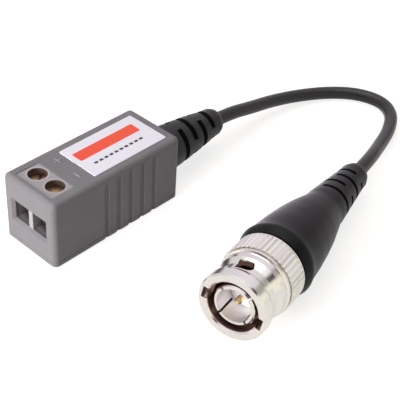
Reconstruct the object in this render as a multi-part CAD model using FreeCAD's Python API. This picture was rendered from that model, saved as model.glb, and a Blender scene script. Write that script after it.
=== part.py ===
import FreeCAD, Part
import math
import os
from FreeCAD import Placement, Rotation, Vector

# Passive video balun: a small box with a two-way screw terminal, a short coaxial lead and a bayonet plug.
# Millimetres. The box stands on its base cover, with the origin at the middle of the base.
# +X points from the terminals to the lead, and -Y is the side that the plug lies on.

# Round stretches of the turned outlines are drawn with this many chords
ARC_CHORDS = 3
NOSE_BULGE_AT = 0.3
NOSE_BULGE_DROP = 0.45

# Housing
LENGTH = 33.0
WIDTH = 14.5
HEIGHT = 15.0
WALL = 1.2
CORNER_R = 1.1
TOP_EDGE_R = 1.1
COVER_T = 1.2
COVER_EDGE = 0.25
LIP_H = 1.2
LIP_T = 0.9
FIT_GAP = 0.05
OVERCUT = 0.01
SNAP_R = 0.4
SNAP_STANDOUT = 0.26
SNAP_LENGTH = 5.0
SNAP_X = 8.0

# Finger grip: grooves down both sides
GROOVES = 5
GROOVE_PITCH = 3.17
GROOVE_R = 0.75
GROOVE_DEPTH = 0.42
GROOVE_MIDDLE_X = 3.1
GROOVE_TOP_GAP = 1.4

# Sticker on the top
LABEL_LENGTH = 18.9
LABEL_WIDTH = 10.4
LABEL_T = 0.12
LABEL_CORNER_R = 0.3
LABEL_END_GAP = 2.25
LABEL_SHIFT_Y = -0.27

# Circuit board
BOARD_T = 1.2
BOARD_POST_H = 1.6
BOARD_POST_R = 1.1
BOARD_GAP = 0.15
BOARD_REAR_GAP = 1.4
ROW_GAPS = 5

# Screw terminal, two ways
WAYS = 2
PITCH = 5.08
BLOCK_TOP_DEPTH = 5.5
BLOCK_BASE_DEPTH = 7.6
BLOCK_TOP_DROP = 0.12
BLOCK_STEP = 0.2
BLOCK_SHOULDER_DROP = 3.0
BLOCK_SLOPE_H = 1.8
BLOCK_REAR_T = 1.0
SCREW_SETBACK = 0.4
ENTRY_HEIGHT = 4.5
ENTRY_FLOOR = 1.5
WINDOW_EDGE = 0.55
WINDOW_TOP_EDGE = 0.3
RIB_SETBACK = 0.5
PARTING_EDGE = 0.12

# Clamp: a captive screw draws a cage up under a fixed contact strip
SCREW_R = 1.25
SCREW_HEAD_R = 2.03
SCREW_HEAD_H = 1.1
SCREW_SLOT_W = 0.6
SCREW_SLOT_DEPTH = 0.6
SCREW_SLOT_TURNS = (30.0, -20.0)
SCREW_MOUTH_R = 1.92
SCREW_MOUTH_DEPTH = 0.8
RUN_GAP = 0.05
CAGE_TRAVEL = 2.16
CAGE_WIDTH = 3.86
CAGE_DEPTH = 3.6
CAGE_SIDE_T = 0.5
CAGE_TOP_T = 1.0
CAGE_BOTTOM_T = 0.7
STRIP_T = 0.6
STRIP_WIDTH = 2.6
PIN_WIDTH = 1.0
PIN_STANDOUT = 1.2
WIRE_SPACE = 2.3
STOP_GAP = 0.12

# Transformer and the other parts on the board
CORE_R = 4.5
CORE_HOLE_R = 2.4
CORE_H = 4.0
WIRE_R = 0.2
TURNS = 7
WINDING_START_ANGLE = 15.0
WINDING_ANGLE = 150.0
DIODE_R = 1.3
DIODE_LENGTH = 4.6
CAP_LENGTH = 6.0
CAP_WIDTH = 2.4
CAP_HEIGHT = 5.4
CAP_EDGE_R = 0.4
LEAD_R = 0.3
LEAD_STANDOUT = 0.9
CORE_LEAD_R = 0.7
SHIELD_LEAD_R = 0.5
LEAD_SPREAD = 1.6
LEAD_BEND_RUN = 1.0

# Coaxial lead and the strain relief on the box
CABLE_R = 1.5
CABLE_HEIGHT = 7.0
RELIEF_ROOT_R = 5.0
RELIEF_MIDDLE_R = 4.3
RELIEF_NOSE_R = 3.15
RELIEF_NOSE_LENGTH = 2.9
RELIEF_LENGTH = 19.3
RELIEF_NECK_R = 3.55
RELIEF_FLANGE_R = 4.4
RELIEF_FLANGE_T = 1.4
RELIEF_END_R = 1.9
RELIEF_FIRST_SLOT = 5.6
RELIEF_SLOTS = 4
RELIEF_SLOT_W = 1.35
RELIEF_SLOT_TURN = 0.0
SLOT_PITCH = 3.1
SLOT_ANGLE = 142.0
SLOT_CORE_R = 2.05
SOCKET_DEPTH = 3.0

# Plug: where it lies, and its boot
PLUG_X = -7.24
PLUG_Y = -42.75
PLUG_YAW = 12.04
PLUG_TILT = 4.42
BOOT_FRONT = 14.4
BOOT_FRONT_R = 7.0
BOOT_RIM = 16.35
BOOT_RIM_R = 7.75
BOOT_RIM_BULGE_R = 7.45
BOOT_BELL = 18.0
BOOT_BELL_R = 7.42
BOOT_BELL_MIDDLE = 25.0
BOOT_BELL_MIDDLE_R = 6.75
BOOT_WAIST = 30.0
BOOT_WAIST_R = 5.92
BOOT_NECK = 34.5
BOOT_NECK_R = 4.85
BOOT_NECK_MIDDLE = 35.9
BOOT_NECK_MIDDLE_R = 4.54
BOOT_TAIL = 37.5
BOOT_TAIL_R = 4.42
BOOT_NOSE_LENGTH = 4.0
BOOT_NOSE_R = 3.1
BOOT_END = 54.4
BOOT_END_R = 1.9
BOOT_FIRST_SLOT = 39.5
BOOT_SLOTS = 4
BOOT_SLOT_W = 1.0
BOOT_SLOT_TURN = -45.0

# Plug: outer contact, pin and insulator
CONTACT_START = 0.7
CONTACT_R = 4.05
CONTACT_BORE_R = 3.3
CONTACT_EDGE = 0.25
CONTACT_SLITS = 4
CONTACT_SLIT_W = 0.45
CONTACT_SLIT_END = 5.0
FLANGE_START = 10.3
FLANGE_T = 0.6
FLANGE_R = 4.88
BARREL_R = 4.25
BODY_R = 5.2
BODY_START = 14.7
BODY_END = 19.4
STEM_R = 2.6
STEM_END = 26.0
CORE_END_R = 1.25
INSULATOR_START = 5.4
INSULATOR_END = 12.2
PIN_R = 0.675
PIN_START = 1.8
PIN_COLLAR_START = 9.4
PIN_COLLAR_R = 1.0
PIN_TIP_R = 0.3
PIN_TIP_LENGTH = 0.6
PIN_HOLD_R = 0.47
GASKET_T = 0.7
GASKET_SEAT_R = 3.84
FERRULE_T = 0.68
FERRULE_GAP = 0.6
MOULD_GAP = 0.02

# Plug: coupling nut and what holds it
NUT_BORE_R = 4.95
NUT_MOUTH_R = 5.3
NUT_RING_R = 6.75
NUT_RING_END = 2.2
NUT_NECK_R = 5.98
NUT_NECK = 5.1
NUT_COLLAR_R = 6.62
NUT_COLLAR_START = 6.4
NUT_COLLAR_END = 7.9
NUT_RIDGE_SLOPE = 0.15
NUT_RIDGE_R = 7.0
NUT_GROOVE_START = 8.5
NUT_GROOVE_W = 0.3
NUT_GROOVE_DEPTH = 0.25
NUT_GRIP_R = 7.25
NUT_REAR_EDGE = 0.25
NUT_END = 13.9
NUT_EDGE = 0.3
NUT_RIM = 0.45
NUT_TRAVEL = 0.7
KNURLS = 48
KNURL_DEPTH = 0.2
KNURL_SHARE = 0.8
KNURL_OVERCUT = 0.06
WASHER_T = 0.35
SPRING_T = 0.28
SPRING_SLACK = 0.24
SNAP_RING_T = 0.5
SNAP_RING_GROOVE_R = 3.9
SNAP_RING_R = 4.95
SNAP_RING_GAP_ANGLE = 40.0
SNAP_RING_RECESS = 0.08

# Bayonet cam slots in the nut, as angles clockwise from the top, seen from the mouth
CAMS = 2
CAM_WIDTH = 2.4
CAM_DEPTH_R = 6.35
CAM_RAMP_R = 5.75
CAM_ENTRY_R = 6.0
CAM_ENTRY_ANGLE = -82.0
CAM_RAMP_START = 1.5
CAM_RAMP_END_ANGLE = -22.0
CAM_REST_ANGLE = -3.0
CAM_REST = 4.9
CAM_CUT_IN = 0.5

# The lead's free route between its two exits, as it lies on the table
ROUTE = [
    (53.0, -1.2, 4.3),
    (62.9, -1.7, 2.3),
    (70.4, -5.2, 1.65),
    (75.5, -10.3, 1.6),
    (76.5, -17.0, 1.6),
    (73.4, -22.9, 1.6),
    (67.0, -26.3, 1.7),
    (59.6, -27.9, 2.6),
]
EXIT_RUN = 5.9
TAIL_RUN = 6.2
ARC_SHARE = 0.45

X = Vector(1, 0, 0)
Y = Vector(0, 1, 0)
Z = Vector(0, 0, 1)

FRONT = -LENGTH / 2
REAR = LENGTH / 2
SIDE = WIDTH / 2
BOARD_BOTTOM = COVER_T + BOARD_POST_H
BOARD_TOP = BOARD_BOTTOM + BOARD_T
BLOCK_TOP = HEIGHT - BLOCK_TOP_DROP
BLOCK_FACE = FRONT + WALL + FIT_GAP
BLOCK_REAR = BLOCK_FACE + BLOCK_BASE_DEPTH
BLOCK_HALF = WAYS * PITCH / 2
SCREW_X = BLOCK_FACE + BLOCK_STEP + BLOCK_TOP_DEPTH / 2 + SCREW_SETBACK
ENTRY_BOTTOM = BOARD_TOP + ENTRY_FLOOR
ENTRY_WIDTH = CAGE_WIDTH + 2 * RUN_GAP
RIB_WIDTH = PITCH - ENTRY_WIDTH
WINDOW_HALF = BLOCK_HALF - RIB_WIDTH / 2
CAGE_FLOOR = ENTRY_BOTTOM + STOP_GAP - CAGE_BOTTOM_T
STRIP_BOTTOM = ENTRY_BOTTOM + STOP_GAP + WIRE_SPACE
STRIP_TOP = STRIP_BOTTOM + STRIP_T
CAGE_TOP = STRIP_TOP + STOP_GAP + CAGE_TOP_T
HEAD_BOTTOM = CAGE_TOP + CAGE_TRAVEL + 2 * STOP_GAP
CHAMBER_TOP = HEAD_BOTTOM - STOP_GAP / 2
STRIP_REAR = BLOCK_REAR - BLOCK_REAR_T

BOARD_FRONT = BLOCK_FACE + BOARD_GAP
BOARD_REAR = REAR - WALL - RELIEF_FLANGE_T - BOARD_REAR_GAP
BOARD_MIDDLE = (BOARD_FRONT + BOARD_REAR) / 2
WOUND_R = CORE_R + 2 * WIRE_R + FIT_GAP
ROW_WIDTH = 2 * WOUND_R + 2 * DIODE_R + CAP_WIDTH + 2 * CORE_LEAD_R
ROW_GAP = (BOARD_REAR - BLOCK_REAR - ROW_WIDTH) / ROW_GAPS
CORE_X = BLOCK_REAR + ROW_GAP + WOUND_R
DIODE_X = CORE_X + WOUND_R + ROW_GAP + DIODE_R
CAP_X = DIODE_X + DIODE_R + ROW_GAP + CAP_WIDTH / 2
LEAD_LAND_X = CAP_X + CAP_WIDTH / 2 + ROW_GAP + CORE_LEAD_R

FLANGE_END = FLANGE_START + FLANGE_T
WASHER_START = FLANGE_END + SPRING_T + NUT_TRAVEL + SPRING_SLACK
NUT_SHOULDER_START = WASHER_START + WASHER_T + MOULD_GAP
NUT_SHOULDER_END = NUT_END - SNAP_RING_T - SNAP_RING_RECESS
SNAP_RING_START = NUT_SHOULDER_END + MOULD_GAP
FERRULE_START = BODY_END + FERRULE_GAP
FERRULE_END = FERRULE_START + STEM_END - BODY_END


def box(x0, x1, y0, y1, z0, z1):
    return Part.makeBox(x1 - x0, y1 - y0, z1 - z0, Vector(x0, y0, z0))


def rod(radius, start, end):
    """A round bar from one point to another."""
    return Part.makeCylinder(radius, (end - start).Length, start, end - start)


def rounded_plate(length, width, z0, z1, radius):
    """A plate centred on the origin, with rounded upright corners."""
    plate = box(-length / 2, length / 2, -width / 2, width / 2, z0, z1)
    if radius <= 0:
        return plate
    upright = [e for e in plate.Edges if e.BoundBox.ZLength > (z1 - z0) / 2]
    return plate.makeFillet(radius, upright)


def edges_at_height(shape, z):
    return [e for e in shape.Edges if abs(e.BoundBox.ZMin - z) < 1e-4 and abs(e.BoundBox.ZMax - z) < 1e-4]


def arc_chords(start, middle, end):
    """Points along the arc through three points, as a few equal chords."""
    arc = Part.Arc(Vector(start[0], 0, start[1]), Vector(middle[0], 0, middle[1]), Vector(end[0], 0, end[1]))
    return [(p.x, p.z) for p in arc.toShape().discretize(ARC_CHORDS + 1)]


def turned(outline):
    """A solid turned about the X axis from a closed outline of (along, radius) points.

    A list of three points inside the outline is an arc through them.
    """
    points = []
    for item in outline:
        for s, r in arc_chords(*item) if isinstance(item, list) else [item]:
            point = Vector(s, 0, r)
            if not points or points[-1].distanceToPoint(point) > 1e-6:
                points.append(point)
    face = Part.Face(Part.makePolygon(points + points[:1]))
    return face.revolve(Vector(), X, 360)


def bent_wire(points, radius):
    """A round wire along straight runs, mitred at its bends."""
    section = Part.Wire(Part.makeCircle(radius, points[0], points[1] - points[0]))
    return Part.makePolygon(points).makePipeShell([section], True, False, 1)


def around(shape, angle):
    """Turns a shape about the X axis: angles run from the top towards -Y."""
    turned_shape = shape.copy()
    turned_shape.rotate(Vector(), X, angle)
    return turned_shape


def sector(radius, width, along, middle, span):
    """A wedge of a disc on the X axis, its middle at an angle from the top towards -Y."""
    wedge = Part.makeCylinder(radius, width, Vector(), Z, span)
    wedge.rotate(Vector(), Z, middle - span / 2 + 180)
    wedge.rotate(Vector(), Y, 90)
    wedge.translate(Vector(along - width / 2, 0, 0))
    return wedge


def ring_slots(first, count, width, turn, radius):
    """Alternating pairs of slots that make a moulded sleeve flexible."""
    core = Part.makeCylinder(SLOT_CORE_R, count * SLOT_PITCH + width, Vector(first - SLOT_PITCH / 2, 0, 0), X)
    wedges = []
    for i in range(count):
        middle = turn + (90 if i % 2 == 0 else 0)
        for half in (0, 180):
            wedges.append(sector(radius, width, first + i * SLOT_PITCH, middle + half, SLOT_ANGLE))
    return Part.makeCompound([w.cut(core) for w in wedges])


def way_y(way):
    """The middle of one way of the terminal block; way 0 is on the +Y side."""
    return ((WAYS - 1) / 2 - way) * PITCH


def grip_grooves():
    cuts = []
    reach = GROOVE_R - GROOVE_DEPTH
    top = HEIGHT - GROOVE_TOP_GAP - GROOVE_R / 2
    for i in range(GROOVES):
        x = GROOVE_MIDDLE_X + (i - (GROOVES - 1) / 2) * GROOVE_PITCH
        for side in (-1, 1):
            foot = Vector(x, side * (SIDE + reach), -1)
            head = Vector(x, side * (SIDE + reach), top)
            cuts.append(rod(GROOVE_R, foot, head).fuse(Part.makeCone(GROOVE_R, 0, GROOVE_R, head)))
    return Part.makeCompound(cuts)


def snap_beads(radius):
    """The beads on the cover's lip, and with a larger radius the hollows that they click into."""
    y = SIDE - WALL - FIT_GAP - SNAP_R + SNAP_STANDOUT
    z = COVER_T + LIP_H / 2
    beads = []
    for x in (-SNAP_X, SNAP_X):
        for side in (-1, 1):
            start = Vector(x - SNAP_LENGTH / 2, side * y, z)
            end = Vector(x + SNAP_LENGTH / 2, side * y, z)
            beads.append(rod(radius, start, end))
    return beads


def window_bevel():
    """Widens the window towards the front face."""
    rings = []
    for x, share in ((FRONT - WINDOW_EDGE, 2), (FRONT + WINDOW_EDGE, 0)):
        half = WINDOW_HALF + share * WINDOW_EDGE
        low = ENTRY_BOTTOM - share * WINDOW_EDGE
        high = ENTRY_BOTTOM + ENTRY_HEIGHT + share * WINDOW_TOP_EDGE
        corners = [Vector(x, y, z) for y, z in ((-half, low), (half, low), (half, high), (-half, high))]
        rings.append(Part.makePolygon(corners + corners[:1]))
    return Part.makeLoft(rings, True)


def housing():
    shell = rounded_plate(LENGTH, WIDTH, COVER_T, HEIGHT, CORNER_R)
    shell = shell.makeFillet(TOP_EDGE_R, edges_at_height(shell, HEIGHT))
    shell = shell.makeChamfer(PARTING_EDGE, edges_at_height(shell, COVER_T))
    room = rounded_plate(LENGTH - 2 * WALL, WIDTH - 2 * WALL, 0, HEIGHT - WALL, CORNER_R - WALL)
    shell = shell.cut(room)
    top = ENTRY_BOTTOM + ENTRY_HEIGHT
    window = box(FRONT - 1, FRONT + WALL + OVERCUT, -WINDOW_HALF, WINDOW_HALF, ENTRY_BOTTOM, top)
    shell = shell.cut(window)
    shell = shell.cut(window_bevel())
    hatch_x = BLOCK_FACE + BLOCK_STEP - FIT_GAP
    hatch_half = BLOCK_HALF + FIT_GAP
    hatch_end = hatch_x + BLOCK_TOP_DEPTH + 2 * FIT_GAP
    hatch = box(hatch_x, hatch_end, -hatch_half, hatch_half, HEIGHT - WALL - 1, HEIGHT + 1)
    shell = shell.cut(hatch)
    notch_r = RELIEF_NECK_R + FIT_GAP
    notch = box(REAR - WALL - 1, REAR + 1, -notch_r, notch_r, 0, CABLE_HEIGHT)
    arch = Part.makeCylinder(notch_r, WALL + 2, Vector(REAR - WALL - 1, 0, CABLE_HEIGHT), X)
    shell = shell.cut(notch.fuse(arch))
    shell = shell.cut(grip_grooves())
    return shell.cut(Part.makeCompound(snap_beads(SNAP_R + FIT_GAP)))


def base_cover():
    plate = rounded_plate(LENGTH, WIDTH, 0, COVER_T, CORNER_R)
    plate = plate.makeChamfer(COVER_EDGE, edges_at_height(plate, 0))
    plate = plate.makeChamfer(PARTING_EDGE, edges_at_height(plate, COVER_T))
    lip_length = LENGTH - 2 * (WALL + FIT_GAP)
    lip_width = WIDTH - 2 * (WALL + FIT_GAP)
    lip = rounded_plate(lip_length, lip_width, COVER_T, COVER_T + LIP_H, CORNER_R - WALL)
    lip_room = rounded_plate(lip_length - 2 * LIP_T, lip_width - 2 * LIP_T, 0, HEIGHT, 0)
    lip = lip.cut(lip_room)
    cover = plate.fuse(lip)
    cover = cover.fuse(snap_beads(SNAP_R))
    tongue_half = RELIEF_NECK_R
    tongue = box(REAR - WALL, REAR, -tongue_half, tongue_half, COVER_T, CABLE_HEIGHT - RELIEF_NECK_R / 2)
    seat = Part.makeCylinder(RELIEF_NECK_R + FIT_GAP, 3 * WALL, Vector(REAR - 2 * WALL, 0, CABLE_HEIGHT), X)
    cover = cover.fuse(tongue.cut(seat))
    post_x = (BOARD_REAR - BOARD_FRONT) / 2 - 2 * BOARD_POST_R
    post_y = SIDE - WALL - LIP_T - BOARD_POST_R - 4 * FIT_GAP
    for x in (-post_x, post_x):
        for y in (-post_y, post_y):
            foot = Vector(x + BOARD_MIDDLE, y, COVER_T / 2)
            cover = cover.fuse(rod(BOARD_POST_R, foot, Vector(foot.x, y, BOARD_BOTTOM)))
    cover = cover.cut(grip_grooves())
    return cover.removeSplitter()


def label():
    middle = REAR - LABEL_END_GAP - LABEL_LENGTH / 2
    sticker = rounded_plate(LABEL_LENGTH, LABEL_WIDTH, HEIGHT, HEIGHT + LABEL_T, LABEL_CORNER_R)
    sticker.translate(Vector(middle, LABEL_SHIFT_Y, 0))
    return sticker


def lead_holes():
    """Where wires and pins pass through the board, as (x, y, radius)."""
    pin_r = math.hypot(PIN_WIDTH, STRIP_T) / 2 + FIT_GAP
    holes = [(STRIP_REAR - STRIP_T / 2, way_y(w), pin_r) for w in range(WAYS)]
    wire_r = LEAD_R + FIT_GAP
    holes += [(DIODE_X, side * diode_foot_y(), wire_r) for side in (-1, 1)]
    holes += [(CAP_X, side * cap_foot_y(), wire_r) for side in (-1, 1)]
    return holes


def circuit_board():
    half = SIDE - WALL - BOARD_GAP
    board = box(BOARD_FRONT, BOARD_REAR, -half, half, BOARD_BOTTOM, BOARD_TOP)
    start = BOARD_BOTTOM - BOARD_T
    drills = [Part.makeCylinder(r, 3 * BOARD_T, Vector(x, y, start)) for x, y, r in lead_holes()]
    return board.cut(Part.makeCompound(drills))


def terminal_block():
    face = BLOCK_FACE
    rear = BLOCK_REAR
    top_front = face + BLOCK_STEP
    top_rear = top_front + BLOCK_TOP_DEPTH
    step = HEIGHT - WALL - FIT_GAP
    shoulder = BLOCK_TOP - BLOCK_SHOULDER_DROP
    outline = [
        (face, BOARD_TOP),
        (rear, BOARD_TOP),
        (rear, shoulder - BLOCK_SLOPE_H),
        (top_rear, shoulder),
        (top_rear, BLOCK_TOP),
        (top_front, BLOCK_TOP),
        (top_front, step),
        (face, step),
    ]
    points = [Vector(x, -BLOCK_HALF, z) for x, z in outline]
    block = Part.Face(Part.makePolygon(points + points[:1])).extrude(Y * (2 * BLOCK_HALF))
    ribs = []
    for way in range(WAYS - 1):
        y = (way_y(way) + way_y(way + 1)) / 2
        low = ENTRY_BOTTOM + FIT_GAP
        high = ENTRY_BOTTOM + ENTRY_HEIGHT - FIT_GAP
        start = FRONT + RIB_SETBACK
        ribs.append(box(start, face + BLOCK_STEP, y - RIB_WIDTH / 2, y + RIB_WIDTH / 2, low, high))
    block = block.fuse(ribs).removeSplitter()
    cuts = []
    for way in range(WAYS):
        y = way_y(way)
        half = ENTRY_WIDTH / 2
        front = SCREW_X - CAGE_DEPTH / 2 - RUN_GAP
        back = SCREW_X + CAGE_DEPTH / 2 + RUN_GAP
        cuts.append(box(front, back, y - half, y + half, CAGE_FLOOR - STOP_GAP, CHAMBER_TOP))
        entry_top = ENTRY_BOTTOM + ENTRY_HEIGHT
        cuts.append(box(face - 1, front + OVERCUT, y - half, y + half, ENTRY_BOTTOM, entry_top))
        well = Part.makeCylinder(SCREW_HEAD_R + RUN_GAP, BLOCK_TOP - SCREW_MOUTH_DEPTH - CHAMBER_TOP)
        well.translate(Vector(SCREW_X, y, CHAMBER_TOP))
        mouth = Part.makeCylinder(SCREW_MOUTH_R, SCREW_MOUTH_DEPTH + 1)
        mouth.translate(Vector(SCREW_X, y, BLOCK_TOP - SCREW_MOUTH_DEPTH))
        cuts += [well, mouth]
        bar = STRIP_WIDTH / 2 + FIT_GAP
        leg = PIN_WIDTH / 2 + FIT_GAP
        cuts.append(
            box(front, STRIP_REAR + FIT_GAP, y - bar, y + bar, STRIP_BOTTOM - FIT_GAP, STRIP_TOP + FIT_GAP)
        )
        leg_front = STRIP_REAR - STRIP_T - FIT_GAP
        cuts.append(box(leg_front, STRIP_REAR + FIT_GAP, y - leg, y + leg, BOARD_TOP - 1, STRIP_TOP))
    return block.cut(Part.makeCompound(cuts[:1]).fuse(cuts[1:]))


def terminal_screw(way):
    y = way_y(way)
    foot = Vector(SCREW_X, y, STRIP_TOP + MOULD_GAP)
    neck = Vector(SCREW_X, y, HEAD_BOTTOM)
    crown = Vector(SCREW_X, y, HEAD_BOTTOM + SCREW_HEAD_H)
    screw = rod(SCREW_R, foot, neck).fuse(rod(SCREW_HEAD_R, neck, crown))
    slot = box(
        SCREW_X - 2 * SCREW_HEAD_R,
        SCREW_X + 2 * SCREW_HEAD_R,
        y - SCREW_SLOT_W / 2,
        y + SCREW_SLOT_W / 2,
        crown.z - SCREW_SLOT_DEPTH,
        crown.z + 1,
    )
    slot.rotate(crown, Z, SCREW_SLOT_TURNS[way % len(SCREW_SLOT_TURNS)])
    return screw.removeSplitter().cut(slot)


def clamp_cage(way):
    y = way_y(way)
    front = SCREW_X - CAGE_DEPTH / 2
    back = SCREW_X + CAGE_DEPTH / 2
    half = CAGE_WIDTH / 2
    cage = box(front, back, y - half, y + half, CAGE_FLOOR, CAGE_TOP)
    inner = half - CAGE_SIDE_T
    hollow = box(
        front - 1, back + 1, y - inner, y + inner, CAGE_FLOOR + CAGE_BOTTOM_T, CAGE_TOP - CAGE_TOP_T
    )
    thread_start = Vector(SCREW_X, y, CAGE_TOP - 1.5 * CAGE_TOP_T)
    thread = Part.makeCylinder(SCREW_R + RUN_GAP, 2 * CAGE_TOP_T, thread_start)
    return cage.cut(hollow).cut(thread)


def contact_strip(way):
    y = way_y(way)
    front = SCREW_X - CAGE_DEPTH / 2
    bar = box(front, STRIP_REAR, y - STRIP_WIDTH / 2, y + STRIP_WIDTH / 2, STRIP_BOTTOM, STRIP_TOP)
    foot = BOARD_BOTTOM - PIN_STANDOUT
    leg = box(STRIP_REAR - STRIP_T, STRIP_REAR, y - PIN_WIDTH / 2, y + PIN_WIDTH / 2, foot, STRIP_TOP)
    return bar.fuse(leg).removeSplitter()


def transformer_core():
    base = Vector(CORE_X, 0, BOARD_TOP + 2 * WIRE_R + FIT_GAP)
    ring = Part.makeCylinder(CORE_R, CORE_H, base)
    return ring.cut(Part.makeCylinder(CORE_HOLE_R, CORE_H, base))


def winding(start_angle):
    """One wire wound through the ring, over a little less than half of it."""
    gap = WIRE_R + FIT_GAP
    low = BOARD_TOP + WIRE_R
    high = BOARD_TOP + 2 * WIRE_R + FIT_GAP + CORE_H + gap
    inside = CORE_HOLE_R - gap
    outside = CORE_R + gap
    turn = WINDING_ANGLE / TURNS
    corners = [(outside, low)]
    angles = [start_angle]
    for i in range(TURNS):
        angle = start_angle + i * turn
        corners += [(outside, high), (inside, high), (inside, low), (outside, low)]
        angles += [angle, angle + turn / 2, angle + turn / 2, angle + turn]
    points = []
    for (radius, z), angle in zip(corners, angles):
        a = math.radians(angle)
        points.append(Vector(CORE_X + radius * math.cos(a), radius * math.sin(a), z))
    turns = [i * math.pi / 3 for i in range(7)]
    section = [Vector(WIRE_R * math.cos(t), WIRE_R * math.sin(t), 0) for t in turns]
    hexagon = Part.makePolygon([points[0] + p for p in section])
    return Part.makePolygon(points).makePipeShell([hexagon], True, False, 1)


def diode_foot_y():
    return DIODE_LENGTH / 2 + 2 * LEAD_R


def surge_diode():
    z = BOARD_TOP + DIODE_R + FIT_GAP
    body = rod(DIODE_R, Vector(DIODE_X, -DIODE_LENGTH / 2, z), Vector(DIODE_X, DIODE_LENGTH / 2, z))
    foot = diode_foot_y()
    low = BOARD_BOTTOM - LEAD_STANDOUT
    ends = [Vector(DIODE_X, y, height) for y, height in ((-foot, low), (-foot, z), (foot, z), (foot, low))]
    return body.fuse(bent_wire(ends, LEAD_R)).removeSplitter()


def cap_foot_y():
    return CAP_LENGTH / 2 - 3 * LEAD_R


def capacitor():
    start = CAP_X - CAP_WIDTH / 2
    end = CAP_X + CAP_WIDTH / 2
    body = box(start, end, -CAP_LENGTH / 2, CAP_LENGTH / 2, BOARD_TOP, BOARD_TOP + CAP_HEIGHT)
    body = body.makeFillet(CAP_EDGE_R, [e for e in body.Edges if e.BoundBox.ZLength > 1])
    for side in (-1, 1):
        y = side * cap_foot_y()
        foot = Vector(CAP_X, y, BOARD_BOTTOM - LEAD_STANDOUT)
        body = body.fuse(rod(LEAD_R, foot, Vector(CAP_X, y, BOARD_TOP)))
    return body


def inner_lead(radius, side):
    """A stripped end of the lead, from the strain relief down to its land on the board."""
    start = Vector(REAR - WALL - RELIEF_FLANGE_T, 0, CABLE_HEIGHT)
    start.y = side * LEAD_SPREAD / 2
    bend = Vector(start.x - LEAD_BEND_RUN, start.y, start.z)
    land = Vector(LEAD_LAND_X, side * LEAD_SPREAD, BOARD_TOP + radius)
    return bent_wire([start, bend, land], radius)


def strain_relief():
    wall = REAR
    nose = RELIEF_LENGTH - RELIEF_NOSE_LENGTH
    outline = [
        (wall - WALL - RELIEF_FLANGE_T, 0),
        (wall - WALL - RELIEF_FLANGE_T, RELIEF_FLANGE_R),
        (wall - WALL, RELIEF_FLANGE_R),
        (wall - WALL, RELIEF_NECK_R),
        (wall, RELIEF_NECK_R),
        [(wall, RELIEF_ROOT_R), (wall + nose / 2, RELIEF_MIDDLE_R), (wall + nose, RELIEF_NOSE_R)],
        [
            (wall + nose, RELIEF_NOSE_R),
            (wall + RELIEF_LENGTH - NOSE_BULGE_AT * RELIEF_NOSE_LENGTH, RELIEF_NOSE_R - NOSE_BULGE_DROP),
            (wall + RELIEF_LENGTH, RELIEF_END_R),
        ],
        (wall + RELIEF_LENGTH, 0),
    ]
    sleeve = turned(outline)
    slots = ring_slots(
        wall + RELIEF_FIRST_SLOT, RELIEF_SLOTS, RELIEF_SLOT_W, RELIEF_SLOT_TURN, 2 * RELIEF_ROOT_R
    )
    sleeve = sleeve.cut(slots)
    socket_start = Vector(wall + RELIEF_LENGTH - SOCKET_DEPTH, 0, 0)
    socket = Part.makeCylinder(CABLE_R, SOCKET_DEPTH + 1, socket_start, X)
    sleeve = sleeve.cut(socket)
    sleeve.translate(Vector(0, 0, CABLE_HEIGHT))
    return sleeve


def plug_place():
    """The plug's mouth and axis: its boot's rim rests on the table."""
    tilt = math.radians(PLUG_TILT)
    height = BOOT_RIM_R * math.cos(tilt) + BOOT_RIM * math.sin(tilt)
    return Placement(Vector(PLUG_X, PLUG_Y, height), Rotation(PLUG_YAW, PLUG_TILT, 0))


def plug_boot():
    outline = [
        (BOOT_FRONT, BODY_R + MOULD_GAP),
        [
            (BOOT_FRONT, BOOT_FRONT_R),
            ((BOOT_FRONT + BOOT_RIM) / 2, BOOT_RIM_BULGE_R),
            (BOOT_RIM, BOOT_RIM_R),
        ],
        (BOOT_BELL, BOOT_BELL_R),
        [(BOOT_BELL, BOOT_BELL_R), (BOOT_BELL_MIDDLE, BOOT_BELL_MIDDLE_R), (BOOT_WAIST, BOOT_WAIST_R)],
        [(BOOT_NECK, BOOT_NECK_R), (BOOT_NECK_MIDDLE, BOOT_NECK_MIDDLE_R), (BOOT_TAIL, BOOT_TAIL_R)],
        (BOOT_END - BOOT_NOSE_LENGTH, BOOT_NOSE_R),
        [
            (BOOT_END - BOOT_NOSE_LENGTH, BOOT_NOSE_R),
            (BOOT_END - NOSE_BULGE_AT * BOOT_NOSE_LENGTH, BOOT_NOSE_R - NOSE_BULGE_DROP),
            (BOOT_END, BOOT_END_R),
        ],
        (BOOT_END, 0),
        (FERRULE_END + MOULD_GAP, 0),
        (FERRULE_END + MOULD_GAP, STEM_R + FERRULE_T + 2 * MOULD_GAP),
        (BODY_END + MOULD_GAP, STEM_R + FERRULE_T + 2 * MOULD_GAP),
        (BODY_END + MOULD_GAP, BODY_R + MOULD_GAP),
    ]
    boot = turned(outline)
    boot = boot.cut(ring_slots(BOOT_FIRST_SLOT, BOOT_SLOTS, BOOT_SLOT_W, BOOT_SLOT_TURN, 2 * BOOT_RIM_R))
    socket = Part.makeCylinder(CABLE_R, SOCKET_DEPTH + 1, Vector(BOOT_END - SOCKET_DEPTH, 0, 0), X)
    return boot.cut(socket)


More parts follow.
